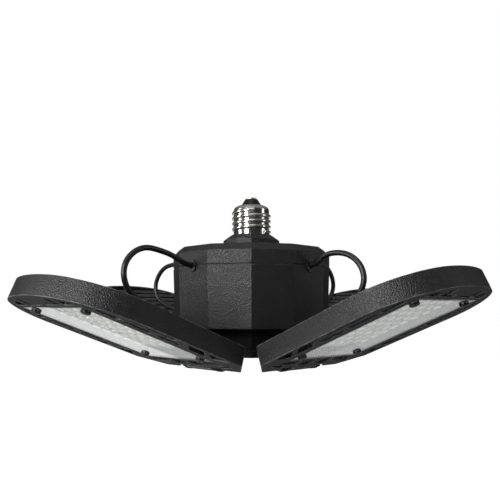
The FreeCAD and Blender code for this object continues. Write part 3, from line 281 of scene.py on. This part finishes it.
def build_mottle_group():
    """Broad colour drift and fine scratches for smooth parts."""
    tree, entry, leave = new_group(
        "mottled_tone",
        [("Colour", COLOUR, grey(0.5)), ("Drift", FLOAT, 0.1), ("Roughness", FLOAT, 0.35),
         ("Scuff", FLOAT, 0.1), ("Scale", FLOAT, 300.0)],
        [("Colour", COLOUR), ("Roughness", FLOAT), ("Height", FLOAT)])
    where = object_place(tree, (-1100, 0))
    broad = noise(tree, where, entry.outputs["Scale"], 5.0, (-700, 150))
    drift = remap(tree, broad, 0.3, 0.7, -1.0, 1.0, (-450, 150))
    swing = maths(tree, "MULTIPLY", drift, entry.outputs["Drift"], (-200, 150))
    gain = maths(tree, "ADD", swing, 1.0, (0, 150))
    tone = scaled_colour(tree, entry.outputs["Colour"], gain, (250, 150))
    stretch = add_node(tree, "ShaderNodeMapping", (-900, -200))
    wire(tree, where, stretch.inputs["Vector"])
    wire(tree, (1.0, 1.0, 9.0), stretch.inputs["Scale"])
    wire(tree, (0.4, 0.3, 0.6), stretch.inputs["Rotation"])
    finer = maths(tree, "MULTIPLY", entry.outputs["Scale"], 2.5, (-900, -400))
    scratches = noise(tree, stretch.outputs[0], finer, 2.0, (-700, -200))
    scuffs = remap(tree, scratches, 0.35, 0.65, -1.0, 1.0, (-450, -200))
    change = maths(tree, "MULTIPLY", scuffs, entry.outputs["Scuff"], (-200, -200))
    rough = maths(tree, "ADD", change, entry.outputs["Roughness"], (0, -200), clamp=True)
    put_out(tree, leave, Colour=tone, Roughness=rough, Height=scratches)
    return tree


PEBBLES = build_pebble_group()
EDGES = build_edge_group()
DUST = build_dust_group()
UNDERSIDE_SHADE = build_underside_shade_group()
MOTTLE = build_mottle_group()


# ---- finishes ----

CAST_BLACK = rgb(0.0032, 0.0032, 0.0038)
CASTING_GRAIN, CASTING_SHADE = 1500.0, 0.6
CASTING_RELIEF, CASTING_DEPTH = 0.8, 0.0002
CASTING_EDGE = 0.0006
CASTING_DUST = 0.04
DUST_TONE = rgb(0.16, 0.155, 0.145)

SMOOTH_RELIEF, SMOOTH_DEPTH = 0.08, 0.00004

COVER_TINT = rgb(0.95, 0.975, 0.98)
COVER_IOR = 1.49

CASTINGS = {
    "black_casting": dict(colour=CAST_BLACK, roughness=0.38, specular=0.5, dull=0.75, rub_and_highlight=0.5,
                          rub_and_highlight_colour=grey(0.12)),
    # The frames' edges are lightened more strongly: painted highlight along their bars and rims.
    "frame_casting": dict(colour=CAST_BLACK, roughness=0.38, specular=0.5, dull=0.75, rub_and_highlight=1.0,
                          rub_and_highlight_colour=grey(0.4)),
    # A darker, duller copy of the casting for the hinge hub, which sits in shadow: its darker colour is
    # painted shade.
    "hub_painted_shade_casting": dict(colour=grey(0.002), roughness=0.6, specular=0.2, dull=0.9, rub_and_highlight=0.5,
                           rub_and_highlight_colour=grey(0.12)),
}

# Scale is that of the colour's drift; the scratches that vary the roughness are finer.
SMOOTH_PARTS = {
    "contact_metal": dict(colour=rgb(0.70, 0.66, 0.55), roughness=0.3, drift=0.08, scuff=0.08, scale=500.0,
                          metallic=1.0, rub_and_highlight=0.3, rub_and_highlight_colour=rgb(0.85, 0.82, 0.74)),
    "nickel": dict(colour=rgb(0.60, 0.59, 0.57), roughness=0.16, drift=0.04, scuff=0.07, scale=420.0,
                   metallic=1.0, edge=0.0003),
    "dark_steel": dict(colour=grey(0.05), roughness=0.3, drift=0.12, scuff=0.1, scale=700.0,
                       metallic=1.0, rub_and_highlight=0.6, rub_and_highlight_colour=grey(0.3)),
    "copper_winding": dict(colour=rgb(0.75, 0.32, 0.12), roughness=0.3, drift=0.1, scuff=0.06, scale=900.0,
                           metallic=1.0),
    "black_insulator": dict(colour=grey(0.006), roughness=0.3, drift=0.15, scuff=0.06, scale=260.0,
                            specular=0.2),
    "cable_rubber": dict(colour=grey(0.007), roughness=0.34, drift=0.12, scuff=0.07, scale=220.0,
                         specular=0.4),
    "circuit_board": dict(colour=rgb(0.03, 0.16, 0.07), roughness=0.35, drift=0.12, scuff=0.05, scale=200.0),
    "winding_tape": dict(colour=rgb(0.75, 0.55, 0.06), roughness=0.4, drift=0.08, scuff=0.06, scale=200.0),
    "ferrite": dict(colour=grey(0.03), roughness=0.6, drift=0.15, scuff=0.08, scale=500.0),
    "capacitor_sleeve": dict(colour=rgb(0.02, 0.03, 0.09), roughness=0.3, drift=0.08, scuff=0.05,
                             scale=200.0),
    "moulded_black": dict(colour=grey(0.02), roughness=0.45, drift=0.1, scuff=0.06, scale=300.0),
    "ceramic": dict(colour=rgb(0.72, 0.70, 0.64), roughness=0.4, drift=0.06, scuff=0.05, scale=300.0),
    "socket_plastic": dict(colour=rgb(0.78, 0.77, 0.72), roughness=0.4, drift=0.05, scuff=0.05, scale=300.0),
    "lead_brown": dict(colour=rgb(0.16, 0.06, 0.025), roughness=0.4, drift=0.08, scuff=0.05, scale=300.0),
    "lead_blue": dict(colour=rgb(0.03, 0.09, 0.35), roughness=0.4, drift=0.08, scuff=0.05, scale=300.0),
    "white_board": dict(colour=rgb(0.14, 0.155, 0.165), roughness=0.35, drift=0.02, scuff=0.04, scale=160.0),
    "led_lens": dict(colour=rgb(0.90, 0.88, 0.78), roughness=0.25, drift=0.02, scuff=0.03, scale=400.0),
    "chip_gel": dict(colour=rgb(0.92, 0.86, 0.60), roughness=0.2, drift=0.03, scuff=0.03, scale=500.0),
    "reflector": dict(colour=rgb(0.40, 0.43, 0.44), roughness=0.3, drift=0.02, scuff=0.04, scale=140.0),
}


def new_material(name):
    material = bpy.data.materials.new(name)
    material.use_nodes = True
    tree = material.node_tree
    return material, tree, tree.nodes["Principled BSDF"]


def bump(tree, height, strength, distance, normal, shader):
    node = add_node(tree, "ShaderNodeBump", (-300, -400))
    wire(tree, strength, node.inputs["Strength"])
    wire(tree, distance, node.inputs["Distance"])
    wire(tree, height, node.inputs["Height"])
    wire(tree, normal, node.inputs["Normal"])
    wire(tree, node.outputs[0], shader.inputs["Normal"])


def pebbled_finish(name, colour, roughness, specular, dull, rub_and_highlight, rub_and_highlight_colour):
    """A black casting: pebbled skin, edges lightened as rubbed wear and painted highlight, a dull underside
    darkened with painted shade, and a little dust.
    """
    material, tree, shader = new_material(name)
    shader.inputs["Specular IOR Level"].default_value = specular
    skin = place_group(tree, PEBBLES, (-1100, 200), Colour=colour, Grain=CASTING_GRAIN, Shade=CASTING_SHADE,
                       Roughness=roughness)
    rim = place_group(tree, EDGES, (-1100, -200), Radius=CASTING_EDGE, Rub=rub_and_highlight)
    film = place_group(tree, DUST, (-1100, -450), Amount=CASTING_DUST)
    # Faces that look down are duller and darkened with painted shade.
    shaded_below = place_group(tree, UNDERSIDE_SHADE, (-850, 300), Colour=skin.outputs["Colour"],
                        Roughness=skin.outputs["Roughness"], Dull=dull)
    # Edges lightened: partly rubbed wear, partly painted highlight.
    rubbed_and_highlighted = blend_colours(tree, rim.outputs["Mask"], shaded_below.outputs["Colour"], rub_and_highlight_colour, (-600, 200))
    dusted = blend_colours(tree, film.outputs["Mask"], rubbed_and_highlighted, DUST_TONE, (-350, 200))
    wire(tree, dusted, shader.inputs["Base Color"])
    wire(tree, shaded_below.outputs["Roughness"], shader.inputs["Roughness"])
    bump(tree, skin.outputs["Height"], CASTING_RELIEF, CASTING_DEPTH, rim.outputs["Normal"], shader)
    return material


def smooth_finish(name, colour, roughness, drift, scuff, scale, metallic=0.0, specular=0.5, edge=0.0002,
                  rub_and_highlight=0.0, rub_and_highlight_colour=grey(0.4)):
    """A smooth part whose tone drifts a little, with fine scratches and softened edges."""
    material, tree, shader = new_material(name)
    shader.inputs["Metallic"].default_value = metallic
    shader.inputs["Specular IOR Level"].default_value = specular
    tone = place_group(tree, MOTTLE, (-1100, 200), Colour=colour, Drift=drift, Roughness=roughness,
                       Scuff=scuff, Scale=scale)
    rim = place_group(tree, EDGES, (-1100, -200), Radius=edge, Rub=rub_and_highlight)
    # Edges lightened: partly rubbed wear, partly painted highlight.
    rubbed_and_highlighted = blend_colours(tree, rim.outputs["Mask"], tone.outputs["Colour"], rub_and_highlight_colour, (-700, 200))
    wire(tree, rubbed_and_highlighted, shader.inputs["Base Color"])
    wire(tree, tone.outputs["Roughness"], shader.inputs["Roughness"])
    bump(tree, tone.outputs["Height"], SMOOTH_RELIEF, SMOOTH_DEPTH, rim.outputs["Normal"], shader)
    return material


def clear_finish(name):
    """Clear polycarbonate; light for the board behind it passes straight through."""
    material, tree, shader = new_material(name)
    shader.inputs["Metallic"].default_value = 0.0
    shader.inputs["Transmission Weight"].default_value = 1.0
    shader.inputs["IOR"].default_value = COVER_IOR
    tone = place_group(tree, MOTTLE, (-1100, 200), Colour=COVER_TINT, Drift=0.01, Roughness=0.006,
                       Scuff=0.004, Scale=120.0)
    wire(tree, tone.outputs["Colour"], shader.inputs["Base Color"])
    wire(tree, tone.outputs["Roughness"], shader.inputs["Roughness"])
    through = add_node(tree, "ShaderNodeBsdfTransparent", (200, -200))
    ray = add_node(tree, "ShaderNodeLightPath", (0, 300))
    mix = add_node(tree, "ShaderNodeMixShader", (450, 0))
    wire(tree, ray.outputs["Is Shadow Ray"], mix.inputs[0])
    wire(tree, shader.outputs[0], mix.inputs[1])
    wire(tree, through.outputs[0], mix.inputs[2])
    wire(tree, mix.outputs[0], tree.nodes["Material Output"].inputs["Surface"])
    return material


FINISHES = {name: pebbled_finish(name, **values) for name, values in CASTINGS.items()}
FINISHES.update({name: smooth_finish(name, **values) for name, values in SMOOTH_PARTS.items()})
FINISHES["clear_cover"] = clear_finish("clear_cover")

finish_of = {part["node"]: part["material_slot"] for part in frame["record"]["subparts"]}
# The hinge hub takes the darker copy of the casting: painted shade.
finish_of["hinge_hub"] = "hub_painted_shade_casting"
for side in SIDES:
    finish_of[f"panel_frame_{side}"] = "frame_casting"
for label, node in frame["nodes"].items():
    node.data.materials.clear()
    node.data.materials.append(FINISHES[finish_of[label]])


# ---- shapes ----

BLOCK_FACE = ((0, 0), (1, 0), (1, 1), (0, 1))


def to_mesh(shape, name):
    mesh = bpy.data.meshes.new(name)
    shape.to_mesh(mesh)
    shape.free()
    return mesh


def bridge(shape, rings, smooth):
    """Faces between rings of corners; a ring on the axis is one corner repeated."""
    for low, high in zip(rings, rings[1:]):
        for step in range(len(low)):
            following = (step + 1) % len(low)
            corners = dict.fromkeys((low[step], low[following], high[following], high[step]))
            face = shape.faces.new(list(corners))
            face.smooth = smooth


def tube_shape(centres, radius, sides):
    """A closed round tube whose rings stand square to its line."""
    shape = bmesh.new()
    rings = []
    across = (centres[1] - centres[0]).normalized().orthogonal().normalized()
    for index, centre in enumerate(centres):
        before = centres[max(index - 1, 0)]
        after = centres[min(index + 1, len(centres) - 1)]
        along = (after - before).normalized()
        across = (across - along * across.dot(along)).normalized()
        other = along.cross(across)
        ring = []
        for step in range(sides):
            angle = 2 * math.pi * step / sides
            outward = across * math.cos(angle) + other * math.sin(angle)
            ring.append(shape.verts.new(centre + outward * radius))
        rings.append(ring)
    bridge(shape, rings, True)
    shape.faces.new(list(reversed(rings[0])))
    shape.faces.new(rings[-1])
    return shape


def turned_shape(profile, sides):
    """A round solid about Z from a profile of radius and height that starts and ends on the axis."""
    shape = bmesh.new()
    rings = []
    for radius, level in profile:
        if radius == 0:
            rings.append([shape.verts.new((0.0, 0.0, level))] * sides)
            continue
        turns = [2 * math.pi * step / sides for step in range(sides)]
        rings.append([shape.verts.new((radius * math.cos(turn), radius * math.sin(turn), level))
                      for turn in turns])
    bridge(shape, rings, False)
    bmesh.ops.recalc_face_normals(shape, faces=shape.faces)
    return shape


def block_shape(low, high, taper=1.0):
    """A block between two corners; its lower end can be narrower than its upper end."""
    shape = bmesh.new()
    middle = [(a + b) / 2 for a, b in zip(low, high)]
    corners = {}
    for up in (0, 1):
        scale = 1.0 if up else taper
        for right in (0, 1):
            for back in (0, 1):
                x = middle[0] + (high[0] - low[0]) * (right - 0.5) * scale
                y = middle[1] + (high[1] - low[1]) * (back - 0.5) * scale
                corners[right, back, up] = shape.verts.new((x, y, high[2] if up else low[2]))
    for axis in range(3):
        for end in (0, 1):
            keys = [place[:axis] + (end,) + place[axis:] for place in BLOCK_FACE]
            shape.faces.new([corners[key] for key in keys])
    bmesh.ops.recalc_face_normals(shape, faces=shape.faces)
    return shape


def carved(mesh, tools, name):
    """A mesh with other meshes cut out of it."""
    holder = bpy.data.objects.new(name, mesh)
    bpy.context.scene.collection.objects.link(holder)
    cutters = []
    for tool in tools:
        cutter = bpy.data.objects.new(name + "_cutter", tool)
        bpy.context.scene.collection.objects.link(cutter)
        modifier = holder.modifiers.new("cut", "BOOLEAN")
        modifier.object = cutter
        modifier.operation = "DIFFERENCE"
        modifier.solver = "EXACT"
        cutters.append(cutter)
    result = bpy.data.meshes.new_from_object(holder.evaluated_get(bpy.context.evaluated_depsgraph_get()))
    for spent in [holder] + cutters:
        bpy.data.objects.remove(spent)
    return result


def joined(parts):
    """One shape from pairs of a mesh and the matrix that places it."""
    shape = bmesh.new()
    for mesh, matrix in parts:
        piece = bmesh.new()
        piece.from_mesh(mesh)
        bmesh.ops.transform(piece, matrix=matrix, verts=piece.verts)
        moved = to_mesh(piece, "moved")
        shape.from_mesh(moved)
        bpy.data.meshes.remove(moved)
    return shape


def add_piece(name, shape, finish):
    """A piece of the light, with its finish."""
    piece = bpy.data.objects.new(name, to_mesh(shape, name))
    piece.data.materials.append(FINISHES[finish])
    bpy.context.scene.collection.objects.link(piece)
    return piece


# ---- cables ----

# Corners of each cable's route from inside the seam to the back of its panel: radius and level.
CABLES_MM = {
    "right": ((46.0, -48.8), (55.5, -48.8), (63.0, -42.6), (73.0, -41.8), (82.0, -44.2), (88.8, -50.0),
              (91.6, -57.8), (89.4, -65.2), (83.4, -70.6), (76.6, -75.2), (70.13, -82.57), (66.52, -91.89)),
    "back": ((46.0, -48.8), (56.0, -48.8), (64.5, -42.8), (74.3, -40.6), (83.7, -42.4), (90.4, -49.0),
             (93.0, -57.4), (89.8, -65.0), (83.4, -70.4), (76.4, -75.0), (70.91, -83.37), (67.03, -92.59)),
    "left": ((46.0, -48.8), (57.0, -48.8), (67.0, -43.4), (78.0, -40.6), (89.0, -40.6), (99.0, -42.4),
             (107.0, -48.0), (111.6, -55.8), (110.4, -64.4), (103.6, -70.2), (93.8, -73.8), (82.6, -76.2),
             (70.48, -82.92), (66.75, -92.2)),
    "front": ((46.0, -48.8), (56.5, -48.8), (66.0, -43.6), (76.5, -40.9), (86.5, -39.6), (95.0, -43.2),
              (100.5, -50.0), (101.3, -58.2), (97.7, -66.0), (90.0, -71.4), (80.6, -74.4), (71.19, -83.68),
              (67.22, -92.86)),
}
CABLE_RADIUS = 1.7 * MM
CABLE_SIDES = 20


def place_on_side(side, radius_mm, level_mm):
    """The world place of a radius and a level on a panel's azimuth."""
    spin = Matrix.Rotation(math.radians(SIDES[side]), 3, "Z")
    return spin @ Vector((radius_mm * MM, 0.0, level_mm * MM))


def smooth_line(points):
    """Ring centres along a smooth spline that has the route's points as its control points."""
    line = bpy.data.curves.new("cable_line", "CURVE")
    line.dimensions = "3D"
    spline = line.splines.new("NURBS")
    spline.points.add(len(points) - 1)
    for control, place in zip(spline.points, points):
        control.co = (*place, 1.0)
    spline.order_u = 3
    spline.use_endpoint_u = True
    spline.resolution_u = 8
    holder = bpy.data.objects.new("cable_line", line)
    bpy.context.scene.collection.objects.link(holder)
    sampled = bpy.data.meshes.new_from_object(holder.evaluated_get(bpy.context.evaluated_depsgraph_get()))
    centres = [vertex.co.copy() for vertex in sampled.vertices]
    bpy.data.objects.remove(holder)
    bpy.data.curves.remove(line)
    bpy.data.meshes.remove(sampled)
    return centres


def add_cable(side):
    centres = smooth_line([place_on_side(side, *corner) for corner in CABLES_MM[side]])
    tube = tube_shape(centres, CABLE_RADIUS, CABLE_SIDES)
    cable = add_piece(f"cable_{side}", tube, "cable_rubber")
    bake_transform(cable)
    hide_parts(f"panel_cable_{side}")


for side in SIDES:
    add_cable(side)


# ---- fittings of the panels ----

# Radius and level of the hinge pins, and how far each panel stands above level in degrees.
HINGE_MM = (41.70, -110.65)
TILTS = {"right": 23.1, "back": 21.5, "left": 22.4, "front": 20.9}

# On a panel, X runs outward from its hinge pin, Y along the pin and Z up through the panel.
PANEL_FACE_MM = -3.0
CEILING_MM = 4.8

SCREW_PLACES_MM = [(x, y) for x in (27.1, 103.1) for y in (-27.0, 27.0)]
HEAD_RADIUS_MM, HEAD_HEIGHT_MM = 2.7, 1.8
HEAD_SIDES, DOME_STEPS = 32, 7
# The foot's share of the head's radius, and the skirt's and the dome's shares of its height.
FOOT_SHARE, SKIRT_SHARE, DOME_SHARE = 0.97, 0.45, 0.55
# The cross recess: its depth and taper, half the size of an arm, and how far its cutters stand out.
RECESS_DEPTH_MM, RECESS_TAPER = 1.0, 0.62
RECESS_LONG_MM, RECESS_NARROW_MM = 1.5, 0.34
RECESS_ABOVE_MM = 0.4

BOARD_MIDDLE_MM, CHIP_FACE_MM = 66.0, 2.4
CHIP_COLUMNS, CHIP_ROWS = 9, 7
CHIP_PITCH_MM, CHIP_ROW_PITCH_MM = 7.5, 8.5
# Half the size of a lens, and how far it stands out of its chip and reaches into it.
LENS_HALF_MM = (1.6, 1.25)
LENS_PROUD_MM, LENS_SUNK_MM = 0.06, 0.02
LENS_TAPER = 0.92

# Where the reflector strips start and end along X, at both ends of the board.
REFLECTORS_MM = ((23.9, 32.9), (99.1, 106.3))
REFLECTOR_HALF_MM, REFLECTOR_THICK_MM = 28.7, 0.5
REFLECTOR_GAP_MM = 0.02

UPSIDE_DOWN = Matrix.Rotation(math.pi, 4, "X")


def panel_matrix(side):
    """From a panel's own millimetres, on its hinge pin and outward along it, to the world."""
    spin = Matrix.Rotation(math.radians(SIDES[side]), 4, "Z")
    hinge = Matrix.Translation((HINGE_MM[0] * MM, 0.0, HINGE_MM[1] * MM))
    lean = Matrix.Rotation(-math.radians(TILTS[side]), 4, "Y")
    return spin @ hinge @ lean @ Matrix.Scale(MM, 4)


def screw_head_mesh():
    """A domed head with a cross recess, its seat at zero and its crown upward."""
    turns = [math.pi / 2 * step / DOME_STEPS for step in range(DOME_STEPS)]
    dome = [(HEAD_RADIUS_MM * math.cos(turn), HEAD_HEIGHT_MM * (SKIRT_SHARE + DOME_SHARE * math.sin(turn)))
            for turn in turns]
    profile = [(0, 0.0), (HEAD_RADIUS_MM * FOOT_SHARE, 0.0)] + dome + [(0, HEAD_HEIGHT_MM)]
    head = to_mesh(turned_shape(profile, HEAD_SIDES), "screw_head")
    bottom = HEAD_HEIGHT_MM - RECESS_DEPTH_MM
    top = HEAD_HEIGHT_MM + RECESS_ABOVE_MM
    tools = []
    for x, y in ((RECESS_LONG_MM, RECESS_NARROW_MM), (RECESS_NARROW_MM, RECESS_LONG_MM)):
        tools.append(to_mesh(block_shape((-x, -y, bottom), (x, y, top), RECESS_TAPER), "recess"))
    return carved(head, tools, "screw_head")


def chip_lens_mesh():
    """The lens on a chip, its face downward."""
    x, y = LENS_HALF_MM
    return to_mesh(block_shape((-x, -y, -LENS_PROUD_MM), (x, y, LENS_SUNK_MM), LENS_TAPER), "chip_lens")


def add_screw_heads(side, head):
    """The four cover screws of a panel, each turned at random."""
    to_world = panel_matrix(side)
    heads = []
    for x, y in SCREW_PLACES_MM:
        twist = Matrix.Rotation(random.uniform(0.0, math.pi), 4, "Z")
        heads.append((head, to_world @ Matrix.Translation((x, y, PANEL_FACE_MM)) @ UPSIDE_DOWN @ twist))
    piece = add_piece(f"screw_heads_{side}", joined(heads), "dark_steel")
    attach(piece, f"panel_{side}")
    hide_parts(f"cover_screws_{side}")


def add_chip_lenses(side, lens):
    to_world = panel_matrix(side)
    lenses = []
    for column in range(CHIP_COLUMNS):
        for row in range(CHIP_ROWS):
            x = BOARD_MIDDLE_MM + (column - (CHIP_COLUMNS - 1) / 2) * CHIP_PITCH_MM
            y = (row - (CHIP_ROWS - 1) / 2) * CHIP_ROW_PITCH_MM
            lenses.append((lens, to_world @ Matrix.Translation((x, y, CHIP_FACE_MM))))
    piece = add_piece(f"chip_lenses_{side}", joined(lenses), "chip_gel")
    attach(piece, f"panel_{side}")


def add_reflectors(side):
    to_world = panel_matrix(side)
    strips = []
    for first, last in REFLECTORS_MM:
        low = (first, -REFLECTOR_HALF_MM, CEILING_MM - REFLECTOR_THICK_MM)
        high = (last, REFLECTOR_HALF_MM, CEILING_MM - REFLECTOR_GAP_MM)
        strips.append((to_mesh(block_shape(low, high), "reflector"), to_world))
    piece = add_piece(f"reflectors_{side}", joined(strips), "reflector")
    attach(piece, f"panel_{side}")


screw_head = screw_head_mesh()
chip_lens = chip_lens_mesh()
for side in SIDES:
    add_screw_heads(side, screw_head)
    add_chip_lenses(side, chip_lens)
    add_reflectors(side)


# ---- floor, backdrop and light ----

FLOOR_LEVEL, FLOOR_REACH = -0.34, 12.0
FLOOR_TONE = 0.6
# How bright the floor is where it is seen directly and through the covers.
FLOOR_LIFT, FLOOR_THROUGH = 0.94, 1.15
# How bright it is in gloss: near the light, and in the pale area on the left and on the right.
NEAR_SHEEN, LEFT_SHEEN, RIGHT_SHEEN = 0.03, 0.66, 0.2
# The left and right parts of the floor meet at this X; every edge of brightness is this soft on each side.
PARTS_MEET, SOFT_EDGE = -0.35, 0.01
# The line that bounds the pale area on each part: a slope and a reach in metres.
LEFT_LINE = (2.17, -1.16)
RIGHT_LINE = (2.0, 0.95)

# How bright the room is as fill, and in gloss at the side and overhead; gloss rises between these heights.
ROOM_FILL, ROOM_SIDE, ROOM_TOP = 0.13, 0.03, 0.3
ROOM_RISES = (0.25, 0.7)

# Azimuth in degrees, level, distance, width, height and watts of each soft box.
LAMPS = {
    "key_box": (-77.0, 0.2, 1.1, 0.3, 0.7, 12.5),
    "side_box": (36.0, 0.1, 1.2, 0.3, 0.9, 1.8),
    "far_box": (-124.0, 0.15, 1.2, 0.3, 0.8, 6.2),
    "top_box": (-60.0, 1.1, 0.5, 0.8, 0.8, 3.0),
}
LAMPS_FACE = Vector((0.0, 0.0, -0.07))


def pale_beyond(tree, first, second, line, blur, sheen, place):
    """Pale where first less slope times second is over the line's reach, or under it for a negative blur."""
    slope, reach = line
    x, y = place
    sloped = maths(tree, "MULTIPLY", second, slope, (x - 400, y))
    distance = maths(tree, "SUBTRACT", first, sloped, (x - 200, y))
    return remap(tree, distance, reach - blur, reach + blur, 0.0, sheen, place)


def paper_finish():
    """Matt paper that takes a shadow and is lifted to white where it is seen.

    In gloss it is dark, with a pale area beyond a line on each side: the clear covers show that
    area in their outer half and the chips behind them in the other.
    """
    material, tree, shader = new_material("floor_paper")
    shader.inputs["Base Color"].default_value = grey(FLOOR_TONE)
    shader.inputs["Roughness"].default_value = 0.95
    shader.inputs["Specular IOR Level"].default_value = 0.0
    shader.inputs["Emission Color"].default_value = grey(1.0)
    split = add_node(tree, "ShaderNodeSeparateXYZ", (-1700, -300))
    wire(tree, object_place(tree, (-1900, -300)), split.inputs[0])
    across, away = split.outputs["X"], split.outputs["Y"]
    leftward = remap(tree, across, PARTS_MEET + SOFT_EDGE, PARTS_MEET - SOFT_EDGE, 0.0, 1.0, (-1300, -500))
    rightward = maths(tree, "SUBTRACT", 1.0, leftward, (-1100, -650))
    left_pale = pale_beyond(tree, across, away, LEFT_LINE, -SOFT_EDGE, LEFT_SHEEN, (-1100, -200))
    right_pale = pale_beyond(tree, away, across, RIGHT_LINE, SOFT_EDGE, RIGHT_SHEEN, (-1100, -800))
    on_left = maths(tree, "MULTIPLY", left_pale, leftward, (-900, -300))
    on_right = maths(tree, "MULTIPLY", right_pale, rightward, (-900, -700))
    pale = maths(tree, "ADD", on_left, on_right, (-700, -500))
    sheen = maths(tree, "ADD", pale, NEAR_SHEEN, (-500, -500))
    ray = add_node(tree, "ShaderNodeLightPath", (-1100, 0))
    gloss = maths(tree, "MULTIPLY", ray.outputs["Is Glossy Ray"], sheen, (-300, -300))
    seen = maths(tree, "MULTIPLY", ray.outputs["Is Camera Ray"], FLOOR_LIFT, (-700, 100))
    through = maths(tree, "MULTIPLY", ray.outputs["Is Transmission Ray"], FLOOR_THROUGH, (-700, -100))
    direct = maths(tree, "MAXIMUM", seen, through, (-400, 0))
    shine = maths(tree, "MAXIMUM", direct, gloss, (-150, -100))
    wire(tree, shine, shader.inputs["Emission Strength"])
    return material


def add_floor():
    mesh = bpy.data.meshes.new("floor")
    corners = [(-FLOOR_REACH, -FLOOR_REACH, 0.0), (FLOOR_REACH, -FLOOR_REACH, 0.0),
               (FLOOR_REACH, FLOOR_REACH, 0.0), (-FLOOR_REACH, FLOOR_REACH, 0.0)]
    mesh.from_pydata(corners, [], [(0, 1, 2, 3)])
    mesh.materials.append(paper_finish())
    floor = bpy.data.objects.new("floor", mesh)
    floor.location = (0.0, 0.0, FLOOR_LEVEL)
    bpy.context.scene.collection.objects.link(floor)


def light_world():
    """White where it is seen; as fill and in gloss the room is dimmer, and brighter overhead."""
    world = bpy.data.worlds.new("studio")
    bpy.context.scene.world = world
    world.use_nodes = True
    tree = world.node_tree
    back = tree.nodes["Background"]
    ray = add_node(tree, "ShaderNodeLightPath", (-900, 200))
    way = add_node(tree, "ShaderNodeTexCoord", (-1300, -200)).outputs["Generated"]
    height = height_of(tree, way, (-1100, -200))
    room = remap(tree, height, ROOM_RISES[0], ROOM_RISES[1], ROOM_SIDE, ROOM_TOP, (-800, -200))
    above_fill = maths(tree, "SUBTRACT", room, ROOM_FILL, (-600, -200))
    gloss = maths(tree, "MULTIPLY", ray.outputs["Is Glossy Ray"], above_fill, (-400, -100))
    dim = maths(tree, "ADD", gloss, ROOM_FILL, (-200, -100))
    seen = maths(tree, "MAXIMUM", ray.outputs["Is Camera Ray"], ray.outputs["Is Transmission Ray"],
                 (-600, 200))
    strength = maths(tree, "MAXIMUM", dim, seen, (0, 0))
    wire(tree, strength, back.inputs["Strength"])
    back.inputs["Color"].default_value = grey(1.0)


def add_lamp(name, azimuth, level, distance, width, height, watts):
    """A soft box that faces the light's middle from an azimuth in degrees."""
    data = bpy.data.lights.new(name, "AREA")
    data.shape = "RECTANGLE"
    data.size = width
    data.size_y = height
    data.energy = watts
    lamp = bpy.data.objects.new(name, data)
    bpy.context.scene.collection.objects.link(lamp)
    angle = math.radians(azimuth)
    lamp.location = (distance * math.cos(angle), distance * math.sin(angle), level)
    aim = LAMPS_FACE - lamp.location
    lamp.rotation_euler = aim.to_track_quat("-Z", "Y").to_euler()


add_floor()
light_world()
for name, settings in LAMPS.items():
    add_lamp(name, *settings)
bpy.context.scene.view_settings.view_transform = "Standard"

bpy.context.view_layer.update()
